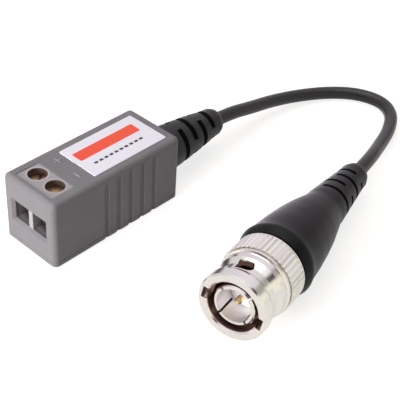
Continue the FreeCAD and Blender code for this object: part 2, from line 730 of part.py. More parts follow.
def connector_body():
    seat_start = FLANGE_START - GASKET_T - MOULD_GAP
    outline = [
        (CONTACT_START, CONTACT_BORE_R),
        (CONTACT_START, CONTACT_R - CONTACT_EDGE),
        (CONTACT_START + CONTACT_EDGE, CONTACT_R),
        (seat_start, CONTACT_R),
        (seat_start, GASKET_SEAT_R),
        (FLANGE_START, GASKET_SEAT_R),
        (FLANGE_START, FLANGE_R),
        (FLANGE_END, FLANGE_R),
        (FLANGE_END, BARREL_R),
        (SNAP_RING_START, BARREL_R),
        (SNAP_RING_START, SNAP_RING_GROOVE_R),
        (SNAP_RING_START + SNAP_RING_T + MOULD_GAP, SNAP_RING_GROOVE_R),
        (SNAP_RING_START + SNAP_RING_T + MOULD_GAP, BARREL_R),
        (BODY_START, BARREL_R),
        (BODY_START, BODY_R),
        (BODY_END, BODY_R),
        (BODY_END, STEM_R),
        (STEM_END, STEM_R),
        (STEM_END, CORE_END_R + MOULD_GAP),
        (INSULATOR_END, CORE_END_R + MOULD_GAP),
        (INSULATOR_END, CONTACT_BORE_R),
    ]
    body = turned(outline)
    slits = []
    for i in range(CONTACT_SLITS):
        slit = box(0, CONTACT_SLIT_END, -CONTACT_SLIT_W / 2, CONTACT_SLIT_W / 2, 0, 2 * CONTACT_R)
        slits.append(around(slit, (i + 0.5) * 360.0 / CONTACT_SLITS))
    return body.cut(Part.makeCompound(slits[:1]).fuse(slits[1:]))


def insulator():
    outline = [
        (INSULATOR_START, PIN_HOLD_R + MOULD_GAP),
        (INSULATOR_START, CONTACT_BORE_R - MOULD_GAP),
        (INSULATOR_END, CONTACT_BORE_R - MOULD_GAP),
        (INSULATOR_END, PIN_COLLAR_R + MOULD_GAP),
        (PIN_COLLAR_START, PIN_COLLAR_R + MOULD_GAP),
        (PIN_COLLAR_START, PIN_HOLD_R + MOULD_GAP),
    ]
    return turned(outline)


def centre_pin():
    outline = [
        (PIN_START, 0),
        (PIN_START, PIN_TIP_R),
        (PIN_START + PIN_TIP_LENGTH, PIN_R),
        (INSULATOR_START - MOULD_GAP, PIN_R),
        (INSULATOR_START - MOULD_GAP, PIN_HOLD_R),
        (PIN_COLLAR_START, PIN_HOLD_R),
        (PIN_COLLAR_START, PIN_COLLAR_R),
        (INSULATOR_END, PIN_COLLAR_R),
        (INSULATOR_END, 0),
    ]
    return turned(outline)


def cable_core_end():
    return Part.makeCylinder(CORE_END_R, STEM_END - INSULATOR_END, Vector(INSULATOR_END, 0, 0), X)


def gasket():
    start = FLANGE_START - GASKET_T
    inner = GASKET_SEAT_R + MOULD_GAP
    outer = FLANGE_R - 2 * MOULD_GAP
    return turned([(start, inner), (start, outer), (FLANGE_START, outer), (FLANGE_START, inner)])


def crimp_ferrule():
    inner = STEM_R + MOULD_GAP
    outer = inner + FERRULE_T
    ring = [(FERRULE_START, inner), (FERRULE_START, outer), (FERRULE_END, outer), (FERRULE_END, inner)]
    return turned(ring)


def cam_slots():
    """Bayonet slots: in at the mouth, up a ramp and along to the place where the lug rests."""
    half = CAM_WIDTH / 2
    inner = NUT_BORE_R - CAM_CUT_IN
    entry = box(-1, CAM_RAMP_START, -half, half, inner, CAM_ENTRY_R)
    entry = around(entry, CAM_ENTRY_ANGLE)
    corner = Part.makeCylinder(half, CAM_ENTRY_R - inner, Vector(CAM_RAMP_START, 0, inner))
    corner = around(corner, CAM_ENTRY_ANGLE)
    turn = CAM_RAMP_END_ANGLE - CAM_ENTRY_ANGLE
    rise = CAM_REST - CAM_RAMP_START
    helix = Part.makeHelix(rise * 360.0 / turn, rise, inner)
    section = Part.makePolygon(
        [
            Vector(inner, 0, -half),
            Vector(CAM_RAMP_R, 0, -half),
            Vector(CAM_RAMP_R, 0, half),
            Vector(inner, 0, half),
            Vector(inner, 0, -half),
        ]
    )
    ramp = helix_sweep(helix, section)
    ramp.rotate(Vector(), Z, CAM_ENTRY_ANGLE + 180)
    ramp.rotate(Vector(), Y, 90)
    ramp.translate(Vector(CAM_RAMP_START, 0, 0))
    rest_span = CAM_REST_ANGLE - CAM_RAMP_END_ANGLE
    rest = sector(CAM_DEPTH_R, CAM_WIDTH, CAM_REST, CAM_RAMP_END_ANGLE + rest_span / 2, rest_span)
    hole = Part.makeCylinder(half, CAM_DEPTH_R - inner, Vector(CAM_REST, 0, inner))
    hole = around(hole, CAM_REST_ANGLE)
    bore = Part.makeCylinder(inner, 3 * CAM_REST, Vector(-CAM_REST, 0, 0), X)
    slot = entry.fuse([corner, ramp, rest.cut(bore), hole])
    return [around(slot, i * 360.0 / CAMS) for i in range(CAMS)]


def helix_sweep(helix, section):
    """A solid swept along a helix about Z, its section always in a plane through the axis."""
    sweep = Part.BRepOffsetAPI.MakePipeShell(Part.Wire(helix.Edges))
    sweep.setBiNormalMode(Z)
    sweep.add(section)
    sweep.build()
    sweep.makeSolid()
    return sweep.shape()


def knurl_cuts():
    """Straight V grooves along the nut's grip."""
    start = NUT_GROOVE_START + NUT_GROOVE_W
    end = NUT_END - NUT_RIM
    half = math.pi * NUT_GRIP_R / KNURLS * KNURL_SHARE
    tip = NUT_GRIP_R - KNURL_DEPTH
    out = NUT_GRIP_R + KNURL_OVERCUT
    deep = Vector(start, 0, tip)
    section = Part.makePolygon([deep, Vector(start, half, out), Vector(start, -half, out), deep])
    groove = Part.Face(section).extrude(X * (end - start))
    return Part.makeCompound([around(groove, i * 360.0 / KNURLS) for i in range(KNURLS)])


def coupling_nut():
    groove_end = NUT_GROOVE_START + NUT_GROOVE_W
    outline = [
        (NUT_MOUTH_R - NUT_BORE_R, NUT_BORE_R),
        (0, NUT_MOUTH_R),
        (0, NUT_RING_R - NUT_EDGE),
        (NUT_EDGE, NUT_RING_R),
        [(NUT_RING_END, NUT_RING_R), (NUT_NECK, NUT_NECK_R), (NUT_COLLAR_START, NUT_COLLAR_R)],
        (NUT_COLLAR_END, NUT_COLLAR_R),
        (NUT_COLLAR_END + NUT_RIDGE_SLOPE, NUT_RIDGE_R),
        (NUT_GROOVE_START, NUT_RIDGE_R),
        (NUT_GROOVE_START, NUT_RIDGE_R - NUT_GROOVE_DEPTH),
        (groove_end, NUT_RIDGE_R - NUT_GROOVE_DEPTH),
        (groove_end, NUT_GRIP_R),
        (NUT_END - NUT_REAR_EDGE, NUT_GRIP_R),
        (NUT_END, NUT_GRIP_R - NUT_REAR_EDGE),
        (NUT_END, SNAP_RING_R + 4 * FIT_GAP),
        (NUT_SHOULDER_END, SNAP_RING_R + 4 * FIT_GAP),
        (NUT_SHOULDER_END, BARREL_R + FIT_GAP),
        (NUT_SHOULDER_START, BARREL_R + FIT_GAP),
        (NUT_SHOULDER_START, NUT_BORE_R),
    ]
    nut = turned(outline)
    nut = nut.cut(knurl_cuts())
    for slot in cam_slots():
        nut = nut.cut(slot)
    return nut


def thrust_washer():
    inner = BARREL_R + FIT_GAP
    outer = NUT_BORE_R - FIT_GAP
    end = WASHER_START + WASHER_T
    return turned([(WASHER_START, inner), (WASHER_START, outer), (end, outer), (end, inner)])


def spring_washer():
    """A thin washer bowed about one axis: its ends bear on the thrust washer, its middle on the flange."""
    inner = BARREL_R + 2 * FIT_GAP
    outer = NUT_BORE_R - 2 * FIT_GAP
    space = WASHER_START - FLANGE_END
    bow = space - SPRING_T - 3 * MOULD_GAP
    bend_r = (outer**2 + bow**2) / (2 * bow)
    tube = Part.makeCylinder(outer, 2 * space, Vector(FLANGE_END - space / 2, 0, 0), X)
    tube = tube.cut(Part.makeCylinder(inner, 4 * space, Vector(FLANGE_END - space, 0, 0), X))
    centre = Vector(FLANGE_END + MOULD_GAP + bend_r, -2 * outer, 0)
    sheet = Part.makeCylinder(bend_r, 4 * outer, centre, Y)
    sheet = sheet.cut(Part.makeCylinder(bend_r - SPRING_T, 4 * outer, centre, Y))
    return tube.common(sheet)


def retaining_ring():
    start = SNAP_RING_START + MOULD_GAP / 2
    end = start + SNAP_RING_T
    inner = SNAP_RING_GROOVE_R + MOULD_GAP
    ring = turned([(start, inner), (start, SNAP_RING_R), (end, SNAP_RING_R), (end, inner)])
    return ring.cut(sector(2 * SNAP_RING_R, 4 * SNAP_RING_T, (start + end) / 2, 180, SNAP_RING_GAP_ANGLE))


def route_points():
    """The lead's points from the box's strain relief to the tail of the plug's boot."""
    start = Vector(REAR + RELIEF_LENGTH - SOCKET_DEPTH, 0, CABLE_HEIGHT)
    place = plug_place()
    tail = place.multVec(Vector(BOOT_END - SOCKET_DEPTH, 0, 0))
    before = place.multVec(Vector(BOOT_END + TAIL_RUN, 0, 0))
    leave = start + Vector(SOCKET_DEPTH + EXIT_RUN, 0, 0)
    return [start, leave] + [Vector(*p) for p in ROUTE] + [before, tail]


def route_wire(points):
    """Straight runs joined by tangent arcs, each as large as its two runs allow."""
    edges = []
    here = points[0]
    radii = []
    for before, corner, after in zip(points, points[1:], points[2:]):
        back = before - corner
        ahead = after - corner
        turn = math.pi - back.getAngle(ahead)
        shorter = min(back.Length, ahead.Length)
        radius = ARC_SHARE * shorter / math.tan(turn / 2)
        radii.append(radius)
        start = corner + back.normalize() * (ARC_SHARE * shorter)
        end = corner + ahead.normalize() * (ARC_SHARE * shorter)
        bisector = (back + ahead).normalize()
        middle = corner + bisector * (radius / math.cos(turn / 2) - radius)
        edges.append(Part.LineSegment(here, start).toShape())
        edges.append(Part.Arc(start, middle, end).toShape())
        here = end
    edges.append(Part.LineSegment(here, points[-1]).toShape())
    return Part.Wire(edges), radii


def cable():
    points = route_points()
    wire, radii = route_wire(points)
    runs = [a.distanceToPoint(b) for a, b in zip(points, points[1:])]
    print("cable runs", [round(r, 1) for r in runs])
    print("cable bend radii", [round(r, 1) for r in radii])
    section = Part.Wire(Part.makeCircle(CABLE_R, points[0], points[1] - points[0]))
    tube = wire.makePipeShell([section], True, True)
    ideal = math.pi * CABLE_R**2 * wire.Length
    share = round(tube.Volume / ideal, 4)
    print("cable length", round(wire.Length, 2), "volume over section times length", share)
    return tube


def build_parts():
    parts = {
        "housing": housing(),
        "base_cover": base_cover(),
        "label": label(),
        "circuit_board": circuit_board(),
        "terminal_block": terminal_block(),
        "transformer_core": transformer_core(),
        "winding_1": winding(WINDING_START_ANGLE),
        "winding_2": winding(WINDING_START_ANGLE + 180),
        "surge_diode": surge_diode(),
        "capacitor": capacitor(),
        "core_lead": inner_lead(CORE_LEAD_R, 1),
        "shield_lead": inner_lead(SHIELD_LEAD_R, -1),
        "strain_relief": strain_relief(),
        "cable": cable(),
    }
    for way in range(WAYS):
        parts["terminal_screw_%d" % (way + 1)] = terminal_screw(way)
        parts["clamp_cage_%d" % (way + 1)] = clamp_cage(way)
        parts["contact_strip_%d" % (way + 1)] = contact_strip(way)
    plug = {
        "plug_boot": plug_boot(),
        "connector_body": connector_body(),
        "insulator": insulator(),
        "centre_pin": centre_pin(),
        "cable_core_end": cable_core_end(),
        "gasket": gasket(),
        "crimp_ferrule": crimp_ferrule(),
        "coupling_nut": coupling_nut(),
        "thrust_washer": thrust_washer(),
        "spring_washer": spring_washer(),
        "retaining_ring": retaining_ring(),
    }
    place = plug_place()
    for name, shape in plug.items():
        placed = shape.copy()
        placed.Placement = place.multiply(placed.Placement)
        parts[name] = placed
    return parts


os.makedirs("parts", exist_ok=True)
for name, shape in build_parts().items():
    shape.exportStep("parts/%s.step" % name)
    print(name, "solids", len(shape.Solids), "valid", shape.isValid(), "volume", round(shape.Volume, 2))
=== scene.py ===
# %% [markdown]
# # A small video balun
#
# A grey box with two screw clamps, a short black lead and a bayonet plug.
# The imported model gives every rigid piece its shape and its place. This script gives each surface its
# finish, lays the lead as one smooth curve, adds what is moulded or printed on the box, and sets up the
# studio.

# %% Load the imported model
import math

import bmesh
import bpy
from mathutils import Euler, Matrix, Vector


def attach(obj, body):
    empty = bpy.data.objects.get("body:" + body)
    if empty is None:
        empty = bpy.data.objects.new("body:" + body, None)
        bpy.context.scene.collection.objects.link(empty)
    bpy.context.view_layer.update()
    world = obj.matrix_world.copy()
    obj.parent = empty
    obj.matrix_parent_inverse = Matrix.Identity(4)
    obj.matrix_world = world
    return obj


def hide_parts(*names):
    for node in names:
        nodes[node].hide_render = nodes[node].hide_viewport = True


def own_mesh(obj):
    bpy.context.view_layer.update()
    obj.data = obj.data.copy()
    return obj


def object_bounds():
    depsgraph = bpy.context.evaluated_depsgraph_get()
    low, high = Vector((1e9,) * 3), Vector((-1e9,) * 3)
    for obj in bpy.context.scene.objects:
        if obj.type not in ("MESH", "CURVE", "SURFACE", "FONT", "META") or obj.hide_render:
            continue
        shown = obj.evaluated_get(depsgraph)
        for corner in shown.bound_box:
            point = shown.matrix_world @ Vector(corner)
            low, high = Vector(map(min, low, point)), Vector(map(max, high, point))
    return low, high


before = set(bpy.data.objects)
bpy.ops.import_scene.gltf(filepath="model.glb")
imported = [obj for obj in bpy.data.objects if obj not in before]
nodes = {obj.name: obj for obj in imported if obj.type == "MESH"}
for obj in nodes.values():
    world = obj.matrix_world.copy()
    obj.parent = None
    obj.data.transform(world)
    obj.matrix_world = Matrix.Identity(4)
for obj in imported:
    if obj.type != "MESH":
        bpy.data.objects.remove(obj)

MM = 0.001
MM_PER_METRE = 1000.0
cad_low, cad_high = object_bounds()
print("nodes", len(nodes), "box in mm", [round(v / MM, 1) for v in cad_high - cad_low])

# %% [markdown]
# ## The camera
#
# The photograph looks down at the box's front corner from a little under 20 centimetres away.
# Three facts set such a camera: where it stands, which way it looks, and how long its lens is.
# The direction comes from the box's edges, and the lens from how much nearer edges look longer.
# The camera also leans over sideways by four degrees, so it is turned about its own line of sight.

# %% Camera
VIEW_AZIMUTH = math.radians(-49.22)
VIEW_ELEVATION = math.radians(38.42)
VIEW_ROLL = math.radians(4.0)
VIEW_RIGHT = 32.19 * MM
VIEW_UP = 9.81 * MM
VIEW_BACK = 192.75 * MM
FRAME_START = Vector((-16.2, -0.2, 0)) * MM
FOCAL_PIXELS = 1001.19
IMAGE_PIXELS = 400
CLIP_NEAR = 0.01
CLIP_FAR = 10.0


def make_camera():
    back = Vector(
        (
            math.sin(VIEW_AZIMUTH) * math.cos(VIEW_ELEVATION),
            -math.cos(VIEW_AZIMUTH) * math.cos(VIEW_ELEVATION),
            math.sin(VIEW_ELEVATION),
        )
    )
    level = Vector((math.cos(VIEW_AZIMUTH), math.sin(VIEW_AZIMUTH), 0))
    right = Matrix.Rotation(VIEW_ROLL, 3, back) @ level
    up = back.cross(right)
    data = bpy.data.cameras.new("photo_camera")
    data.lens = FOCAL_PIXELS / IMAGE_PIXELS * data.sensor_width
    data.clip_start = CLIP_NEAR
    data.clip_end = CLIP_FAR
    camera = bpy.data.objects.new("photo_camera", data)
    bpy.context.scene.collection.objects.link(camera)
    place = FRAME_START + right * VIEW_RIGHT + up * VIEW_UP + back * VIEW_BACK
    turn = Matrix((right, up, back)).transposed()
    camera.matrix_world = Matrix.Translation(place) @ turn.to_4x4()
    bpy.context.scene.camera = camera
    print("camera at mm", [round(v / MM, 1) for v in place], "lens", round(data.lens, 1))


make_camera()

# %% [markdown]
# ## The lead
#
# The lead is a thin, limp coaxial cable. It leaves its strain relief level, sinks to the table within a few
# centimetres, turns back in one loose curve and rises a little into the plug's boot.
# A NURBS curve suits it: the route's points pull the line towards them, and it stays smooth between them.
# Its bevel gives it the round section, one unit deep, and each point's radius brings that to the cable's own.
# Order and end points are set after the points exist, or they don't hold.

# %% Lead
CABLE_R = 1.5 * MM
ROUTE_MM = [
    (32.8, 0.0, 7.0),
    (40.0, 0.0, 6.6),
    (47.0, -0.1, 5.0),
    (54.5, -0.2, 3.6),
    (62.6, -1.6, 2.3),
    (70.2, -5.1, 1.65),
    (75.2, -10.2, 1.6),
    (76.8, -16.4, 1.6),
    (74.0, -21.3, 1.6),
    (67.6, -24.8, 1.7),
    (59.8, -27.4, 2.6),
    (51.85, -30.15, 4.32),
    (42.88, -32.06, 5.03),
]
BEVEL_STEPS = 6
CURVE_STEPS = 16


def make_lead():
    curve = bpy.data.curves.new("lead", "CURVE")
    curve.dimensions = "3D"
    spline = curve.splines.new("NURBS")
    spline.points.add(len(ROUTE_MM) - 1)
    for point, place in zip(spline.points, ROUTE_MM):
        point.co = (*(Vector(place) * MM), 1)
        point.radius = CABLE_R
    spline.order_u = 3
    spline.use_endpoint_u = True
    spline.resolution_u = CURVE_STEPS
    curve.bevel_depth = 1.0
    curve.bevel_resolution = BEVEL_STEPS
    curve.use_fill_caps = True
    lead = bpy.data.objects.new("lead", curve)
    bpy.context.scene.collection.objects.link(lead)
    return lead


def centreline_length(lead):
    bare = lead.copy()
    bare.data = lead.data.copy()
    bare.data.bevel_depth = 0
    line = bpy.data.meshes.new_from_object(bare)
    points = [v.co for v in line.vertices]
    bpy.data.objects.remove(bare)
    return sum((b - a).length for a, b in zip(points, points[1:]))


lead = make_lead()
lead_length = centreline_length(lead)
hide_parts("cable")
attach(lead, "base")
print("lead length in mm", round(lead_length / MM, 1))

# %% [markdown]
# ## Helpers for node trees
#
# Every finish here is built from nodes. A few small helpers keep that short: they add a node and set it up,
# do one sum, make a soft step, mix two colours, start a node group, or start a material.
# Object coordinates are in metres, so a noise scale of 4000 gives features of a quarter of a millimetre.

# %% Node helpers
def add_node(tree, kind, **settings):
    node = tree.nodes.new(kind)
    for name, value in settings.items():
        setattr(node, name, value)
    return node


def wire(tree, source, target):
    tree.links.new(source, target)


def feed(tree, socket, value):
    """Sets a socket to a number or a colour, or wires it to what another node puts out."""
    if isinstance(value, (int, float)):
        socket.default_value = value
    elif isinstance(value, tuple):
        socket.default_value = (*value, 1)
    else:
        wire(tree, value, socket)


def put(node, **values):
    for name, value in values.items():
        node.inputs[name.replace("_", " ")].default_value = value
    return node


def math_node(tree, operation, *values, clamp=False):
    node = add_node(tree, "ShaderNodeMath", operation=operation, use_clamp=clamp)
    for socket, value in zip(node.inputs, values):
        feed(tree, socket, value)
    return node.outputs[0]


def ramp_between(tree, value, low, high, start=0.0, end=1.0):
    """A smooth step from start to end, while the value goes from low to high."""
    node = add_node(tree, "ShaderNodeMapRange", interpolation_type="SMOOTHSTEP")
    names = ("Value", "From Min", "From Max", "To Min", "To Max")
    for name, number in zip(names, (value, low, high, start, end)):
        feed(tree, node.inputs[name], number)
    return node.outputs["Result"]


def fall_between(tree, value, low, high, start=1.0):
    """A smooth step down to nothing, while the value goes from low to high."""
    return ramp_between(tree, value, low, high, start, 0.0)


def blur(middle, half):
    """The two ends of a soft step about a middle."""
    return middle - half, middle + half


def noise(tree, vector, scale, detail=2.0, roughness=0.5):
    node = add_node(tree, "ShaderNodeTexNoise")
    names = ("Vector", "Scale", "Detail", "Roughness")
    for name, value in zip(names, (vector, scale, detail, roughness)):
        feed(tree, node.inputs[name], value)
    return node.outputs["Fac"]


def mix_colors(tree, factor, first, second):
    node = add_node(tree, "ShaderNodeMix", data_type="RGBA")
    for name, value in (("Factor", factor), ("A", first), ("B", second)):
        feed(tree, node.inputs[name], value)
    return node.outputs["Result"]


def split(tree, vector):
    node = add_node(tree, "ShaderNodeSeparateXYZ")
    wire(tree, vector, node.inputs[0])
    return node.outputs


def start_group(name, inputs, outputs):
    tree = bpy.data.node_groups.new(name, "ShaderNodeTree")
    for label, kind, value in inputs:
        socket = tree.interface.new_socket(label, in_out="INPUT", socket_type=kind)
        if value is not None:
            socket.default_value = value
    for label, kind in outputs:
        tree.interface.new_socket(label, in_out="OUTPUT", socket_type=kind)
    return tree, add_node(tree, "NodeGroupInput").outputs, add_node(tree, "NodeGroupOutput").inputs


def start_material(name, **shader_values):
    material = bpy.data.materials.new(name)
    material.use_nodes = True
    tree = material.node_tree
    shader = tree.nodes["Principled BSDF"]
    put(shader, **shader_values)
    place = add_node(tree, "ShaderNodeTexCoord").outputs["Object"]
    return material, tree, shader, place


def use_group(tree, group, place, **values):
    node = add_node(tree, "ShaderNodeGroup", node_tree=group)
    wire(tree, place, node.inputs["Place"])
    return put(node, **values).outputs


def bump(tree, shader, height, depth_mm):
    node = add_node(tree, "ShaderNodeBump")
    node.inputs["Distance"].default_value = depth_mm * MM
    wire(tree, height, node.inputs["Height"])
    wire(tree, node.outputs["Normal"], shader.inputs["Normal"])


# %% [markdown]
# ## Shared effects
#
# Moulded plastic has a fine grain from its tool and faint clouds where the colour mixed unevenly.
# Handling leaves smudges: patches that shine a little more. Dust settles on what faces up.
# Metal has short scratches that run round it. Each effect is one group with its own numbers to set.

# %% Moulded surface
VECTOR = "NodeSocketVector"
NUMBER = "NodeSocketFloat"
COARSE_GRAIN_SCALE = 0.35
COARSE_GRAIN_SHARE = 0.5
SMUDGE_SCALE = 0.6
SMUDGE_BAND = (0.48, 0.72)


def moulded_surface():
    tree, given, out = start_group(
        "moulded_surface",
        [("Place", VECTOR, None), ("Grain Scale", NUMBER, 4000.0), ("Cloud Scale", NUMBER, 250.0)],
        [("Grain", NUMBER), ("Clouds", NUMBER), ("Smudges", NUMBER)],
    )
    fine = noise(tree, given["Place"], given["Grain Scale"], detail=3.0, roughness=0.6)
    coarse_scale = math_node(tree, "MULTIPLY", given["Grain Scale"], COARSE_GRAIN_SCALE)
    coarse = noise(tree, given["Place"], coarse_scale, detail=1.0)
    wire(tree, math_node(tree, "MULTIPLY_ADD", coarse, COARSE_GRAIN_SHARE, fine), out["Grain"])
    clouds = noise(tree, given["Place"], given["Cloud Scale"], detail=3.0, roughness=0.55)
    wire(tree, clouds, out["Clouds"])
    smudge_scale = math_node(tree, "MULTIPLY", given["Cloud Scale"], SMUDGE_SCALE)
    patches = noise(tree, given["Place"], smudge_scale, roughness=0.65)
    wire(tree, ramp_between(tree, patches, *SMUDGE_BAND), out["Smudges"])
    return tree


moulded = moulded_surface()
print("group", moulded.name, len(moulded.nodes), "nodes")

# %% Settled dust
SPECK_BAND = (0.66, 0.74)
SPECK_SHARE = 0.75
DRIFT_SCALE = 160.0
DRIFT_BAND = (0.42, 0.75)
UPWARD_BAND = (0.35, 0.95)


def settled_dust():
    tree, given, out = start_group(
        "settled_dust", [("Place", VECTOR, None), ("Speck Scale", NUMBER, 5200.0)], [("Dust", NUMBER)]
    )
    speckled = noise(tree, given["Place"], given["Speck Scale"], detail=1.0)
    specks = ramp_between(tree, speckled, *SPECK_BAND)
    drifted = noise(tree, given["Place"], DRIFT_SCALE, detail=3.0)
    drifts = ramp_between(tree, drifted, *DRIFT_BAND)
    normal = split(tree, add_node(tree, "ShaderNodeNewGeometry").outputs["Normal"])
    upward = ramp_between(tree, normal["Z"], *UPWARD_BAND)
    thin = math_node(tree, "MULTIPLY", drifts, 1.0 - SPECK_SHARE)
    haze = math_node(tree, "MULTIPLY_ADD", specks, SPECK_SHARE, thin)
    wire(tree, math_node(tree, "MULTIPLY", haze, upward, clamp=True), out["Dust"])
    return tree


dust = settled_dust()
print("group", dust.name, len(dust.nodes), "nodes")

# %% Brushed and handled metal
SCRATCH_SCALE = 900.0
SCRATCH_STRETCH = (6.0, 0.6, 0.6)
SCRATCH_BAND = (0.35, 0.75)
SCRATCH_DEPTH = 0.0015
FINGER_SCALE = 320.0
FINGER_BAND = (0.45, 0.70)


def handled_metal():
    tree, given, out = start_group(
        "handled_metal",
        [("Place", VECTOR, None), ("Scratch Scale", NUMBER, SCRATCH_SCALE)],
        [("Scratches", NUMBER), ("Smudges", NUMBER)],
    )
    stretch = add_node(tree, "ShaderNodeMapping")
    stretch.inputs["Scale"].default_value = SCRATCH_STRETCH
    wire(tree, given["Place"], stretch.inputs["Vector"])
    lines = noise(tree, stretch.outputs["Vector"], given["Scratch Scale"], detail=4.0, roughness=0.7)
    wire(tree, ramp_between(tree, lines, *SCRATCH_BAND), out["Scratches"])
    patches = noise(tree, given["Place"], FINGER_SCALE, detail=3.0, roughness=0.6)
    wire(tree, ramp_between(tree, patches, *FINGER_BAND), out["Smudges"])
    return tree


handled = handled_metal()
print("group", handled.name, len(handled.nodes), "nodes")

# %% [markdown]
# ## Wells and chambers
#
# A pale patchy ring round each screw well is a painted highlight, and the brown inside the wells and wire
# chambers is painted shade.
# No image is needed for that: each place is found by its distance from the middle of its well and
# by its height, and one group gives both masks. A chamber's painted shade fades with that distance, so its
# walls and its window stay lighter.

# %% Screw wells
# The well, sunk, chamber and deep bands mask the painted shade inside the wells and wire chambers; the rim
# bands mask the painted highlight ring.
WELL_X = -11.9
WELL_SIDE = 2.54
WELL_R = 1.92
WELL_WIDEST_R = 2.15
WELL_BAND = (WELL_WIDEST_R, WELL_WIDEST_R + 0.05)
BLOCK_TOP_Z = 14.88
SUNK_BAND = (BLOCK_TOP_Z - 0.10, BLOCK_TOP_Z - 0.04)
CHAMBER_R = 3.9
CHAMBER_BAND = (CHAMBER_R - 1.7, CHAMBER_R)
CHAMBER_SHADE = 0.9
CHAMBER_TOP_Z = 13.5
DEEP_BAND = (CHAMBER_TOP_Z - 0.4, CHAMBER_TOP_Z)
RIM_START_BAND = (WELL_R + 0.04, WELL_R + 0.10)
RIM_END_BAND = (WELL_R + 0.15, WELL_R + 0.55)


def well_shade_and_highlight():
    """Masks for the painted shade inside each well and wire chamber, and for the painted highlight ring round
    each well.
    """
    tree, given, out = start_group(
        "well_shade_and_highlight", [("Place", VECTOR, None)], [("Inside", NUMBER), ("Rim Highlight", NUMBER)]
    )
    parts = split(tree, given["Place"])
    along = math_node(tree, "MULTIPLY_ADD", parts["X"], MM_PER_METRE, -WELL_X)
    across = math_node(tree, "MULTIPLY", parts["Y"], MM_PER_METRE)
    across = math_node(tree, "SUBTRACT", math_node(tree, "ABSOLUTE", across), WELL_SIDE)
    square = math_node(tree, "MULTIPLY", along, along)
    away = math_node(tree, "SQRT", math_node(tree, "MULTIPLY_ADD", across, across, square))
    height = math_node(tree, "MULTIPLY", parts["Z"], MM_PER_METRE)
    well = fall_between(tree, away, *WELL_BAND)
    sunk = fall_between(tree, height, *SUNK_BAND)
    chamber = fall_between(tree, away, *CHAMBER_BAND, CHAMBER_SHADE)
    deep = fall_between(tree, height, *DEEP_BAND)
    in_well = math_node(tree, "MULTIPLY", well, sunk)
    in_chamber = math_node(tree, "MULTIPLY", chamber, deep)
    wire(tree, math_node(tree, "MAXIMUM", in_well, in_chamber), out["Inside"])
    outside = ramp_between(tree, away, *RIM_START_BAND)
    fading = fall_between(tree, away, *RIM_END_BAND)
    wire(tree, math_node(tree, "MULTIPLY", outside, fading), out["Rim Highlight"])
    return tree


wells = well_shade_and_highlight()
print("group", wells.name, len(wells.nodes), "nodes")

# %% [markdown]
# ## A frame on the plug's own axis
#
# The plug lies askew, so a finish that changes along the nut or inside it needs a place measured from the
# plug's own axis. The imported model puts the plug's mouth at one point and turns it by two angles.
# A Mapping node of the texture type, given that point and those angles, undoes the move. A short group then
# turns what is left into a distance along the axis and a distance from it.

# %% Plug frame
PLUG_MOUTH = Vector((-7.24, -42.75, 8.987)) * MM
PLUG_YAW = math.radians(12.04)
PLUG_TILT = math.radians(4.42)
PLUG_TURN = (0.0, PLUG_TILT, PLUG_YAW)


def along_and_round():
    tree, given, out = start_group(
        "along_and_round", [("Place", VECTOR, None)], [("Along", NUMBER), ("Radius", NUMBER)]
    )
    parts = split(tree, given["Place"])
    wire(tree, math_node(tree, "MULTIPLY", parts["X"], MM_PER_METRE), out["Along"])
    square = math_node(tree, "MULTIPLY", parts["Y"], parts["Y"])
    both = math_node(tree, "MULTIPLY_ADD", parts["Z"], parts["Z"], square)
    wire(tree, math_node(tree, "MULTIPLY", math_node(tree, "SQRT", both), MM_PER_METRE), out["Radius"])
    return tree


axis_measure = along_and_round()


def on_plug(tree, place):
    """How far a place lies along the plug from its mouth, and how far from its axis, in millimetres."""
    node = add_node(tree, "ShaderNodeMapping", vector_type="TEXTURE")
    node.inputs["Location"].default_value = PLUG_MOUTH
    node.inputs["Rotation"].default_value = PLUG_TURN
    wire(tree, place, node.inputs["Vector"])
    return use_group(tree, axis_measure, node.outputs["Vector"])


print("plug mouth", [round(v / MM, 2) for v in PLUG_MOUTH])

# %% [markdown]
# ## Plastics
#
# The box is a lilac grey with a spark-eroded grain, and the terminal block a shade lighter and smoother.
# The raised signs by the screws are rubbed paler.
# The boots and the lead's jacket are soft black vinyl: nearly matt, with a broad grey bloom where light
# grazes. A smudge lowers the roughness a little, and dust raises it and pales the colour.
# Each value that ends in ROUGHER is added to the roughness. Below zero, it makes the surface shine more.

# %% Moulded plastics
PLASTIC_IOR = 1.5
PLASTIC_DUST = (0.62, 0.60, 0.60)
PLASTIC_SMUDGE_ROUGHER = -0.10
PLASTIC_DUST_ROUGHER = 0.25


def plastic(name, color, cloud_color, rough, grain_scale, grain_mm, dusty=0.25):
    material, tree, shader, place = start_material(name, IOR=PLASTIC_IOR)
    skin = use_group(tree, moulded, place, Grain_Scale=grain_scale)
    base = mix_colors(tree, skin["Clouds"], color, cloud_color)
    settled = use_group(tree, dust, place)["Dust"]
    amount = math_node(tree, "MULTIPLY", settled, dusty)
    wire(tree, mix_colors(tree, amount, base, PLASTIC_DUST), shader.inputs["Base Color"])
    gloss = math_node(tree, "MULTIPLY_ADD", skin["Smudges"], PLASTIC_SMUDGE_ROUGHER, rough)
    roughness = math_node(tree, "MULTIPLY_ADD", settled, PLASTIC_DUST_ROUGHER, gloss)
    wire(tree, roughness, shader.inputs["Roughness"])
    bump(tree, shader, skin["Grain"], grain_mm)
    return material


# Name, colour, its clouds' colour, roughness, grain scale, grain depth in mm, and dust where it differs
grey_plastic = plastic("grey_plastic", (0.178, 0.168, 0.178), (0.200, 0.189, 0.199), 0.52, 5200.0, 0.012)
sign_plastic = plastic("rubbed_grey_plastic", (0.30, 0.245, 0.285), (0.34, 0.28, 0.32), 0.42, 5200.0, 0.004)
white_plastic = plastic("white_plastic", (0.86, 0.85, 0.82), (0.80, 0.79, 0.76), 0.38, 6000.0, 0.004, 0.0)
print("plastics", grey_plastic.name, sign_plastic.name, white_plastic.name)

